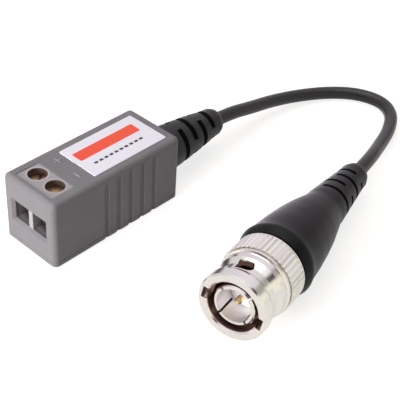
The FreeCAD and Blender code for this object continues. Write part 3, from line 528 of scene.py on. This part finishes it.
# %% The terminal block's plastic
BLOCK_GREY = (0.335, 0.315, 0.325)
BLOCK_CLOUD = (0.385, 0.360, 0.370)
# The pale rim colour is a painted highlight round each screw well.
BLOCK_RIM_HIGHLIGHT = (0.56, 0.52, 0.53)
BLOCK_ROUGHNESS = 0.46
BLOCK_GRAIN_SCALE = 7000.0
BLOCK_GRAIN_DEPTH = 0.005
BLOCK_SMUDGE_ROUGHER = -0.08
# The brown inside the wells and wire chambers is painted shade.
WELL_SHADE_BROWN = (0.075, 0.050, 0.043)
WELL_ROUGHER = -0.12
RIM_HIGHLIGHT_CLOUDS = (0.3, 0.7)
RIM_HIGHLIGHT_AMOUNT = (0.3, 0.9)


def terminal_plastic():
    material, tree, shader, place = start_material("terminal_plastic", IOR=PLASTIC_IOR)
    skin = use_group(tree, moulded, place, Grain_Scale=BLOCK_GRAIN_SCALE)
    rings = use_group(tree, wells, place)
    base = mix_colors(tree, skin["Clouds"], BLOCK_GREY, BLOCK_CLOUD)
    # The pale patchy ring round each well is a painted highlight.
    patchy = ramp_between(tree, skin["Clouds"], *RIM_HIGHLIGHT_CLOUDS, *RIM_HIGHLIGHT_AMOUNT)
    rim_highlight = math_node(tree, "MULTIPLY", rings["Rim Highlight"], patchy)
    base = mix_colors(tree, rim_highlight, base, BLOCK_RIM_HIGHLIGHT)
    # The brown mixed in here is painted shade inside the wells and chambers.
    wire(tree, mix_colors(tree, rings["Inside"], base, WELL_SHADE_BROWN), shader.inputs["Base Color"])
    gloss = math_node(tree, "MULTIPLY_ADD", skin["Smudges"], BLOCK_SMUDGE_ROUGHER, BLOCK_ROUGHNESS)
    roughness = math_node(tree, "MULTIPLY_ADD", rings["Inside"], WELL_ROUGHER, gloss)
    wire(tree, roughness, shader.inputs["Roughness"])
    bump(tree, shader, skin["Grain"], BLOCK_GRAIN_DEPTH)
    return material


block_plastic = terminal_plastic()
print("plastic", block_plastic.name)

# %% Vinyls
VINYL_CLOUD_SCALE = 180.0
VINYL_DUST = (0.30, 0.28, 0.30)
VINYL_DUSTY = 0.05
VINYL_SMUDGE_ROUGHER = -0.09
VINYL_DUST_ROUGHER = 0.2
VINYL_BLOOM = dict(Sheen_Weight=0.50, Sheen_Roughness=0.32, Sheen_Tint=(0.80, 0.76, 0.86, 1))
BOOT_BLACK = (0.012, 0.011, 0.012)
# The band next to the nut ends here, and its black is painted shade.
BAND_END = 16.4
BAND_BLUR = 0.15
BAND_SHADE_BLACK = (0.003, 0.003, 0.003)


def vinyl(name, color, cloud_color, rough, grain_scale, grain_mm, ior=1.40):
    material, tree, shader, place = start_material(name, IOR=ior, **VINYL_BLOOM)
    skin = use_group(tree, moulded, place, Grain_Scale=grain_scale, Cloud_Scale=VINYL_CLOUD_SCALE)
    base = mix_colors(tree, skin["Clouds"], color, cloud_color)
    settled = use_group(tree, dust, place)["Dust"]
    amount = math_node(tree, "MULTIPLY", settled, VINYL_DUSTY)
    wire(tree, mix_colors(tree, amount, base, VINYL_DUST), shader.inputs["Base Color"])
    gloss = math_node(tree, "MULTIPLY_ADD", skin["Smudges"], VINYL_SMUDGE_ROUGHER, rough)
    roughness = math_node(tree, "MULTIPLY_ADD", settled, VINYL_DUST_ROUGHER, gloss)
    wire(tree, roughness, shader.inputs["Roughness"])
    bump(tree, shader, skin["Grain"], grain_mm)
    return material


def boot_finish():
    """The boot's vinyl, with a black band of painted shade next to the nut, where the boot's front face lies in
    shade.
    """
    material = vinyl("plug_boot_vinyl", BOOT_BLACK, (0.019, 0.017, 0.019), 0.44, 3600.0, 0.010, ior=1.25)
    tree = material.node_tree
    shader = tree.nodes["Principled BSDF"]
    place = next(n for n in tree.nodes if n.type == "TEX_COORD").outputs["Object"]
    # The black band next to the nut is painted shade.
    band = fall_between(tree, on_plug(tree, place)["Along"], *blur(BAND_END, BAND_BLUR))
    plain = shader.inputs["Base Color"].links[0].from_socket
    wire(tree, mix_colors(tree, band, plain, BAND_SHADE_BLACK), shader.inputs["Base Color"])
    return material


plug_vinyl = boot_finish()
boot_vinyl = vinyl("boot_vinyl", BOOT_BLACK, (0.018, 0.016, 0.018), 0.46, 3600.0, 0.010)
jacket_vinyl = vinyl(
    "jacket_vinyl", (0.009, 0.008, 0.009), (0.014, 0.013, 0.014), 0.34, 3000.0, 0.006, ior=1.45
)
print("vinyls", plug_vinyl.name, boot_vinyl.name, jacket_vinyl.name)

# %% [markdown]
# ## Metals
#
# The nut and the outer contact are brass under bright nickel. Nickel is a little warm beside chrome.
# Finger marks dull it and tint it slightly, and scratches roughen it and catch the light. The screws are
# bare brass, their cages zinc plated, the strips tinned, and the pin gold plated.
# Inside the nut's bore the plating is thin and brownish, so that colour is mixed in by the distance from
# the plug's axis.

# %% Plain metals
MARK_SHARE = 0.5
NICKEL = (0.86, 0.83, 0.80)
NICKEL_WORN = (0.84, 0.81, 0.75)


def metal(name, color, worn_color, rough, rougher, scratch_scale=SCRATCH_SCALE):
    material, tree, shader, place = start_material(name, Metallic=1.0)
    marks = use_group(tree, handled, place, Scratch_Scale=scratch_scale)
    wire(tree, mix_colors(tree, marks["Smudges"], color, worn_color), shader.inputs["Base Color"])
    scratched = math_node(tree, "MULTIPLY", marks["Scratches"], MARK_SHARE)
    both = math_node(tree, "MULTIPLY_ADD", marks["Smudges"], MARK_SHARE, scratched)
    wire(tree, ramp_between(tree, both, 0.0, 1.0, rough, rougher), shader.inputs["Roughness"])
    bump(tree, shader, marks["Scratches"], SCRATCH_DEPTH)
    return material


# Name, colour, colour where it is worn, roughness, roughness where it is marked, and its scratches' scale
bright_nickel = metal("bright_nickel", NICKEL, NICKEL_WORN, 0.14, 0.28)
screw_brass = metal("screw_brass", (0.95, 0.66, 0.44), (0.48, 0.27, 0.16), 0.36, 0.60, 1600.0)
zinc_plate = metal("zinc_plate", (0.84, 0.82, 0.77), (0.62, 0.59, 0.53), 0.38, 0.60)
tinned = metal("tinned", (0.72, 0.71, 0.68), (0.60, 0.58, 0.54), 0.28, 0.45)
spring_steel = metal("spring_steel", (0.56, 0.56, 0.57), (0.46, 0.44, 0.42), 0.25, 0.42)
gold_plate = metal("gold_plate", (0.92, 0.72, 0.40), (0.84, 0.62, 0.32), 0.20, 0.34)
plain_metals = (bright_nickel, screw_brass, zinc_plate, tinned, spring_steel, gold_plate)
print("metals", [m.name for m in plain_metals])

# %% The nut's nickel
NUT_BORE_EDGE = 5.02
NUT_SLOT_EDGE = 5.90
NUT_EDGE_BLUR = 0.03
NUT_FACE_END = 1.6
KNURL_START = 8.8
ALONG_BLUR = 0.1
BORE_BROWN = (0.36, 0.225, 0.19)
NUT_ROUGHNESS = 0.17
NUT_SMUDGE_ROUGHER = 0.06
NUT_SCRATCH_ROUGHER = 0.06
KNURL_ROUGHER = 0.2
NUT_BORE_ROUGHER = 0.25


def nut_nickel():
    material, tree, shader, place = start_material("nut_nickel", Metallic=1.0)
    marks = use_group(tree, handled, place)
    plated = mix_colors(tree, marks["Smudges"], NICKEL, NICKEL_WORN)
    measure = on_plug(tree, place)
    bore = fall_between(tree, measure["Radius"], *blur(NUT_BORE_EDGE, NUT_EDGE_BLUR))
    slot = fall_between(tree, measure["Radius"], *blur(NUT_SLOT_EDGE, NUT_EDGE_BLUR))
    behind_face = ramp_between(tree, measure["Along"], *blur(NUT_FACE_END, ALONG_BLUR))
    inside = math_node(tree, "MAXIMUM", bore, math_node(tree, "MULTIPLY", slot, behind_face))
    wire(tree, mix_colors(tree, inside, plated, BORE_BROWN), shader.inputs["Base Color"])
    smudged = math_node(tree, "MULTIPLY_ADD", marks["Smudges"], NUT_SMUDGE_ROUGHER, NUT_ROUGHNESS)
    knurled = ramp_between(tree, measure["Along"], *blur(KNURL_START, ALONG_BLUR), 0.0, KNURL_ROUGHER)
    both = math_node(tree, "ADD", smudged, knurled)
    streaked = math_node(tree, "MULTIPLY_ADD", marks["Scratches"], NUT_SCRATCH_ROUGHER, both)
    roughness = math_node(tree, "MULTIPLY_ADD", inside, NUT_BORE_ROUGHER, streaked)
    wire(tree, roughness, shader.inputs["Roughness"])
    bump(tree, shader, marks["Scratches"], SCRATCH_DEPTH)
    return material


nut_finish = nut_nickel()
print("metal", nut_finish.name)

# %% The outer contact's nickel
CONTACT_BORE_EDGE = 3.42
CONTACT_EDGE_BLUR = 0.06
CONTACT_INSIDE = (0.82, 0.78, 0.81)
CONTACT_ROUGHNESS = 0.16
CONTACT_SMUDGE_ROUGHER = 0.08
CONTACT_BORE_ROUGHER = 0.28


def contact_nickel():
    material, tree, shader, place = start_material("contact_nickel", Metallic=1.0)
    marks = use_group(tree, handled, place)
    plated = mix_colors(tree, marks["Smudges"], NICKEL, NICKEL_WORN)
    radius = on_plug(tree, place)["Radius"]
    bore = fall_between(tree, radius, *blur(CONTACT_BORE_EDGE, CONTACT_EDGE_BLUR))
    wire(tree, mix_colors(tree, bore, plated, CONTACT_INSIDE), shader.inputs["Base Color"])
    smudged = math_node(tree, "MULTIPLY_ADD", marks["Smudges"], CONTACT_SMUDGE_ROUGHER, CONTACT_ROUGHNESS)
    roughness = math_node(tree, "MULTIPLY_ADD", bore, CONTACT_BORE_ROUGHER, smudged)
    wire(tree, roughness, shader.inputs["Roughness"])
    bump(tree, shader, marks["Scratches"], SCRATCH_DEPTH)
    return material


contact_finish = contact_nickel()
print("metal", contact_finish.name)

# %% [markdown]
# ## What is inside the box
#
# A green board, a black ferrite ring with copper windings, a moulded diode, a dipped capacitor and a soft
# red ring in the plug. They are hidden at rest, but each still gets the finish that it has on a bench.

# %% Inner finishes
BOARD_COAT = dict(Coat_Weight=0.4, Coat_Roughness=0.15)
BOARD_GREEN = (0.010, 0.085, 0.025)
TRACK_GREEN = (0.020, 0.150, 0.045)
TRACK_SCALE = 170.0
TRACK_BAND = (0.52, 0.54)
TRACK_DEPTH = 0.03
WEAVE_SCALE = 320.0
WEAVE_DISTORTION = 0.6
WEAVE_ROUGHNESS = (0.30, 0.42)


def laminate():
    material, tree, shader, place = start_material("board_laminate", IOR=PLASTIC_IOR, **BOARD_COAT)
    weave = add_node(tree, "ShaderNodeTexWave", bands_direction="X")
    put(weave, Scale=WEAVE_SCALE, Distortion=WEAVE_DISTORTION)
    wire(tree, place, weave.inputs["Vector"])
    tracks = ramp_between(tree, noise(tree, place, TRACK_SCALE, detail=0.0), *TRACK_BAND)
    wire(tree, mix_colors(tree, tracks, BOARD_GREEN, TRACK_GREEN), shader.inputs["Base Color"])
    roughness = ramp_between(tree, weave.outputs["Fac"], 0.0, 1.0, *WEAVE_ROUGHNESS)
    wire(tree, roughness, shader.inputs["Roughness"])
    bump(tree, shader, tracks, TRACK_DEPTH)
    return material


board_finish = laminate()
ferrite = plastic("ferrite", (0.030, 0.030, 0.033), (0.045, 0.045, 0.048), 0.62, 5200.0, 0.02, 0.0)
epoxy = plastic("black_epoxy", (0.018, 0.018, 0.020), (0.026, 0.026, 0.028), 0.34, 4200.0, 0.006, 0.0)
film_dip = plastic("yellow_film", (0.52, 0.30, 0.035), (0.60, 0.36, 0.05), 0.28, 1500.0, 0.01, 0.0)
enamel = plastic("enamelled_wire", (0.42, 0.115, 0.035), (0.50, 0.16, 0.05), 0.24, 2600.0, 0.004, 0.0)
silicone = plastic("silicone", (0.42, 0.085, 0.045), (0.34, 0.065, 0.035), 0.45, 3800.0, 0.006, 0.0)
print("inner finishes", [m.name for m in (board_finish, ferrite, epoxy, film_dip, enamel, silicone)])

# %% [markdown]
# ## The sticker
#
# The sticker is a white film with one printed bar. A rounded rectangle is easy to draw as a mask: measure
# how far the point lies outside the rectangle in each direction, and compare that distance with the corner
# radius. A short row of plain dashes below the bar finishes the layout.

# %% Printed shapes
PRINT_BLUR = 0.05


def printed_block():
    """A mask for one rounded rectangle, its middle and its half sizes given in millimetres."""
    tree, given, out = start_group(
        "printed_block",
        [
            ("Place", VECTOR, None),
            ("Middle X", NUMBER, 0.0),
            ("Middle Y", NUMBER, 0.0),
            ("Half Length", NUMBER, 1.0),
            ("Half Width", NUMBER, 1.0),
            ("Corner", NUMBER, 0.2),
        ],
        [("Ink", NUMBER)],
    )
    parts = split(tree, given["Place"])
    squares = []
    for axis, middle, half in (("X", "Middle X", "Half Length"), ("Y", "Middle Y", "Half Width")):
        back = math_node(tree, "MULTIPLY", given[middle], -1.0)
        offset = math_node(tree, "MULTIPLY_ADD", parts[axis], MM_PER_METRE, back)
        inner = math_node(tree, "SUBTRACT", given[half], given["Corner"])
        beyond = math_node(tree, "SUBTRACT", math_node(tree, "ABSOLUTE", offset), inner)
        clipped = math_node(tree, "MAXIMUM", beyond, 0.0)
        squares.append(math_node(tree, "MULTIPLY", clipped, clipped))
    away = math_node(tree, "SQRT", math_node(tree, "ADD", *squares))
    edge = math_node(tree, "SUBTRACT", away, given["Corner"])
    wire(tree, fall_between(tree, edge, *blur(0.0, PRINT_BLUR)), out["Ink"])
    return tree


print_block = printed_block()
print("group", print_block.name, len(print_block.nodes), "nodes")

# %% Sticker finish
BAR = dict(Middle_X=4.37, Middle_Y=1.18, Half_Length=7.83, Half_Width=1.42, Corner=0.35)
DASH = dict(Middle_Y=-2.4, Half_Length=0.44, Half_Width=0.3, Corner=0.1)
DASH_START_X = -1.6
DASH_PITCH = 1.31
DASH_COUNT = 10
FILM_IOR = 1.35
FILM_GRAIN_SCALE = 2400.0
FILM_GRAIN_DEPTH = 0.004
FILM_ROUGHNESS = 0.30
FILM_SMUDGE_ROUGHER = 0.12
INK_ROUGHER = -0.08
PAPER_WHITE = (0.94, 0.895, 0.98)
PAPER_CLOUD = (0.91, 0.87, 0.96)
INK_RED = (1.0, 0.095, 0.042)
INK_RED_THIN = (1.0, 0.120, 0.062)
INK_GREY = (0.055, 0.058, 0.085)


def sticker_film():
    material, tree, shader, place = start_material("sticker_film", IOR=FILM_IOR)
    skin = use_group(tree, moulded, place, Grain_Scale=FILM_GRAIN_SCALE)
    paper = mix_colors(tree, skin["Clouds"], PAPER_WHITE, PAPER_CLOUD)
    bar = use_group(tree, print_block, place, **BAR)["Ink"]
    red = mix_colors(tree, skin["Clouds"], INK_RED, INK_RED_THIN)
    color = mix_colors(tree, bar, paper, red)
    for i in range(DASH_COUNT):
        middle = DASH_START_X + i * DASH_PITCH
        dash = use_group(tree, print_block, place, Middle_X=middle, **DASH)["Ink"]
        color = mix_colors(tree, dash, color, INK_GREY)
    wire(tree, color, shader.inputs["Base Color"])
    gloss = math_node(tree, "MULTIPLY_ADD", skin["Smudges"], FILM_SMUDGE_ROUGHER, FILM_ROUGHNESS)
    roughness = math_node(tree, "MULTIPLY_ADD", bar, INK_ROUGHER, gloss)
    wire(tree, roughness, shader.inputs["Roughness"])
    bump(tree, shader, skin["Grain"], FILM_GRAIN_DEPTH)
    return material


sticker_finish = sticker_film()
print("sticker print", DASH_COUNT, "dashes and one bar")

# %% [markdown]
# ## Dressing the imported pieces
#
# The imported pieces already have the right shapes, so each keeps its own object and only takes a new finish.

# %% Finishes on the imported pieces
FINISHES = {
    "housing": grey_plastic,
    "base_cover": grey_plastic,
    "label": sticker_finish,
    "circuit_board": board_finish,
    "terminal_block": block_plastic,
    "transformer_core": ferrite,
    "winding_1": enamel,
    "winding_2": enamel,
    "surge_diode": epoxy,
    "capacitor": film_dip,
    "core_lead": white_plastic,
    "shield_lead": tinned,
    "terminal_screw_1": screw_brass,
    "terminal_screw_2": screw_brass,
    "clamp_cage_1": zinc_plate,
    "clamp_cage_2": zinc_plate,
    "contact_strip_1": tinned,
    "contact_strip_2": tinned,
    "connector_body": contact_finish,
    "insulator": white_plastic,
    "centre_pin": gold_plate,
    "cable_core_end": white_plastic,
    "gasket": silicone,
    "crimp_ferrule": bright_nickel,
    "coupling_nut": nut_finish,
    "thrust_washer": bright_nickel,
    "retaining_ring": spring_steel,
}
for name, material in FINISHES.items():
    for material_slot in nodes[name].material_slots:
        material_slot.material = material
lead.data.materials.append(jacket_vinyl)
print("finished", len(FINISHES), "packed pieces")

# %% [markdown]
# ## The signs by the screws
#
# A plus and a minus are moulded in the housing's top, one beside each screw. They stand a few hundredths
# of a millimetre proud. Text could give their shape, but thin blocks side by side give it with fewer faces,
# and their top edges can be bevelled.

# %% Moulded signs
HOUSING_TOP = 15.0 * MM
SIGN_HEIGHT = 0.07 * MM
SIGN_SINK = 0.05 * MM
SIGN_STROKE = 0.34 * MM
SIGN_EDGE = 0.03 * MM
PLUS_AT = Vector((-6.5, 3.1, 0)) * MM
PLUS_SIZE = 1.6 * MM
MINUS_AT = Vector((-6.8, -2.85, 0)) * MM
MINUS_SIZE = 1.9 * MM


def raised_bar(mesh, middle, length_x, length_y):
    size = Vector((length_x, length_y, SIGN_HEIGHT + SIGN_SINK))
    place = Matrix.Translation((middle.x, middle.y, HOUSING_TOP + (SIGN_HEIGHT - SIGN_SINK) / 2))
    bmesh.ops.create_cube(mesh, size=1.0, matrix=place @ Matrix.Diagonal((*size, 1)))


def finish_piece(mesh, name, body, material):
    data = bpy.data.meshes.new(name)
    mesh.to_mesh(data)
    mesh.free()
    data.materials.append(material)
    piece = bpy.data.objects.new(name, data)
    bpy.context.scene.collection.objects.link(piece)
    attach(piece, body)
    return piece


def make_signs():
    mesh = bmesh.new()
    raised_bar(mesh, MINUS_AT, SIGN_STROKE, MINUS_SIZE)
    raised_bar(mesh, PLUS_AT, SIGN_STROKE, PLUS_SIZE)
    arm = (PLUS_SIZE - SIGN_STROKE) / 2
    for side in (-1, 1):
        offset = Vector((side * (SIGN_STROKE + arm) / 2, 0, 0))
        raised_bar(mesh, PLUS_AT + offset, arm, SIGN_STROKE)
    top = [e for e in mesh.edges if all(v.co.z > HOUSING_TOP for v in e.verts)]
    bmesh.ops.bevel(mesh, geom=top, offset=SIGN_EDGE, affect="EDGES", segments=2, profile=0.5, material=-1)
    return finish_piece(mesh, "polarity_signs", "base", sign_plastic)


signs = make_signs()
print("signs", len(signs.data.polygons), "faces")

# %% [markdown]
# ## The spring behind the nut
#
# A thin bowed washer keeps the nut back, and pulling the nut forward presses it flat.
# Its imported shape is right at rest, so a copy of that mesh is merged into one skin and takes its
# place.

# %% Spring washer
SAME_POINT = 0.001 * MM


def merged_copy(name):
    """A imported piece's mesh as one skin: as packed, each triangle has three points of its own."""
    mesh = bmesh.new()
    mesh.from_mesh(nodes[name].data)
    bmesh.ops.remove_doubles(mesh, verts=mesh.verts, dist=SAME_POINT)
    return mesh


def make_spring():
    mesh = merged_copy("spring_washer")
    spring = finish_piece(mesh, "bowed_spring", "base", spring_steel)
    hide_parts("spring_washer")
    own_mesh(spring)
    return spring


spring = make_spring()
print("spring", len(spring.data.vertices), "points")

# %% [markdown]
# ## The two boots
#
# A moulded boot has one smooth skin, but flat facets show as bands on anything this dark and this round.
# Smooth shading needs neighbouring faces that share their points, so each boot is a merged copy too.
# Edges of thirty degrees or more, such as the rims of the slots, are marked so that they stay crisp.

# %% Boots
SHARP_EDGE = math.radians(30)


def make_boot(node, name, material):
    mesh = merged_copy(node)
    for face in mesh.faces:
        face.smooth = True
    for edge in mesh.edges:
        edge.smooth = edge.calc_face_angle(math.pi) < SHARP_EDGE
    boot = finish_piece(mesh, name, "base", material)
    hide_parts(node)
    return boot


lead_boot = make_boot("strain_relief", "moulded_relief", boot_vinyl)
nut_boot = make_boot("plug_boot", "moulded_boot", plug_vinyl)
print("boots", len(lead_boot.data.polygons), len(nut_boot.data.polygons), "faces")

# %% [markdown]

# %% [markdown]
# ## The studio
#
# A pale floor, one broad lamp from the terminal end, a soft one above and a little light from all round
# give the photograph's even light: the front face is the brightest, the top is next, and the long side is
# in shade. The floor adds some light of its own to what the camera and the metal see, and none to what
# falls on the object, so it reads white and keeps a soft shadow.

# %% Floor
FLOOR_SIZE = 4.0
FLOOR_GLOW = 0.75
FLOOR_GLOW_COLOR = (1, 1, 1, 1)
FLOOR_ROUGHNESS = 0.9
FLOOR_COLOR = (0.52, 0.49, 0.46)
FLOOR_CLOUD = (0.54, 0.51, 0.48)
FLOOR_CLOUD_SCALE = 3.0
MIRRORED_GLOW = 0.45


def make_floor():
    mesh = bmesh.new()
    bmesh.ops.create_grid(mesh, x_segments=1, y_segments=1, size=FLOOR_SIZE / 2)
    data = bpy.data.meshes.new("floor")
    mesh.to_mesh(data)
    mesh.free()
    floor = bpy.data.objects.new("floor", data)
    bpy.context.scene.collection.objects.link(floor)
    material, tree, shader, place = start_material("floor_paper", Roughness=FLOOR_ROUGHNESS)
    shade = noise(tree, place, FLOOR_CLOUD_SCALE)
    wire(tree, mix_colors(tree, shade, FLOOR_COLOR, FLOOR_CLOUD), shader.inputs["Base Color"])
    rays = add_node(tree, "ShaderNodeLightPath").outputs
    reflected = math_node(tree, "MULTIPLY", rays["Is Glossy Ray"], MIRRORED_GLOW)
    glow = math_node(tree, "MULTIPLY_ADD", rays["Is Camera Ray"], FLOOR_GLOW, reflected)
    shader.inputs["Emission Color"].default_value = FLOOR_GLOW_COLOR
    wire(tree, glow, shader.inputs["Emission Strength"])
    data.materials.append(material)


make_floor()
print("floor, metres across", FLOOR_SIZE)

# %% Lamps
def make_lamp(name, place_mm, size_mm, power, mirrored):
    data = bpy.data.lights.new(name, "AREA")
    data.shape = "RECTANGLE"
    data.size, data.size_y = (v * MM for v in size_mm)
    data.energy = power
    lamp = bpy.data.objects.new(name, data)
    bpy.context.scene.collection.objects.link(lamp)
    lamp.location = Vector(place_mm) * MM
    middle = (cad_low + cad_high) / 2
    lamp.visible_glossy = mirrored
    lamp.rotation_mode = "QUATERNION"
    lamp.rotation_quaternion = (middle - lamp.location).to_track_quat("-Z", "Y")


make_lamp("key_lamp", place_mm=(-430, 30, 120), size_mm=(260, 220), power=3.2, mirrored=False)
make_lamp("top_lamp", place_mm=(40, 40, 480), size_mm=(420, 420), power=0.85, mirrored=True)
view = bpy.context.scene.view_settings
view.view_transform = "Standard"

# %% [markdown]
# ## What the metal mirrors
#
# Bright metal shows its surroundings, and a room that is white all round would turn nickel into plain
# white. So a reflected ray sees a studio: an ivory board leaning in from the near side, a dark gap above
# it, and a lilac-white tent over the rest. Real boards would also light the box, so these are drawn in the
# world. Which of the three a ray meets depends on its height plus a share of its sideways lean, and the gap
# pales for rays that run the way the lead leaves the box.
# A camera ray sees white, and everything else gets a weak even light.

# %% World
AMBIENT = 0.22
AMBIENT_COLOR = (1.0, 0.97, 1.0)
BOARD_LEAN = 0.8
BOARD_EDGE = -0.10
TENT_EDGE = 0.30
EDGE_SOFTNESS = 0.05
BOARD_COLOR = (1.0, 0.98, 0.86)
GAP_COLOR = (0.05, 0.045, 0.045)
GAP_END_COLOR = (0.42, 0.40, 0.38)
GAP_END_BAND = (0.35, 0.62)
TENT_COLOR = (0.78, 0.74, 0.80)
ZENITH_COLOR = (1.05, 1.0, 1.06)
ZENITH_BAND = (0.45, 0.90)


def choose(tree, switch, off, on):
    """The value off where switch is 0, and the value on where it is 1."""
    kept = math_node(tree, "MULTIPLY", math_node(tree, "SUBTRACT", 1.0, switch), off)
    return math_node(tree, "MULTIPLY_ADD", switch, on, kept)


def make_world():
    world = bpy.data.worlds.new("studio")
    world.use_nodes = True
    bpy.context.scene.world = world
    tree = world.node_tree
    background = tree.nodes["Background"]
    rays = add_node(tree, "ShaderNodeLightPath").outputs
    direction = split(tree, add_node(tree, "ShaderNodeTexCoord").outputs["Generated"])
    lean = math_node(tree, "MULTIPLY_ADD", direction["Y"], BOARD_LEAN, direction["Z"])
    past_board = ramp_between(tree, lean, *blur(BOARD_EDGE, EDGE_SOFTNESS))
    in_tent = ramp_between(tree, lean, *blur(TENT_EDGE, EDGE_SOFTNESS))
    overhead = ramp_between(tree, direction["Z"], *ZENITH_BAND)
    tent = mix_colors(tree, overhead, TENT_COLOR, ZENITH_COLOR)
    gap = mix_colors(tree, ramp_between(tree, direction["X"], *GAP_END_BAND), GAP_COLOR, GAP_END_COLOR)
    studio = mix_colors(tree, in_tent, mix_colors(tree, past_board, BOARD_COLOR, gap), tent)
    seen = mix_colors(tree, rays["Is Glossy Ray"], AMBIENT_COLOR, studio)
    wire(tree, seen, background.inputs["Color"])
    mirrored = math_node(tree, "MAXIMUM", rays["Is Glossy Ray"], rays["Is Camera Ray"])
    wire(tree, choose(tree, mirrored, AMBIENT, 1.0), background.inputs["Strength"])


make_world()
print("world", bpy.context.scene.world.name)

# %% [markdown]
# ## Sizes
#
# The imported model's box is written once more, in millimetres.

# %% Sizes, and the end
print("cad mm", [round(v / MM, 1) for v in cad_high - cad_low])
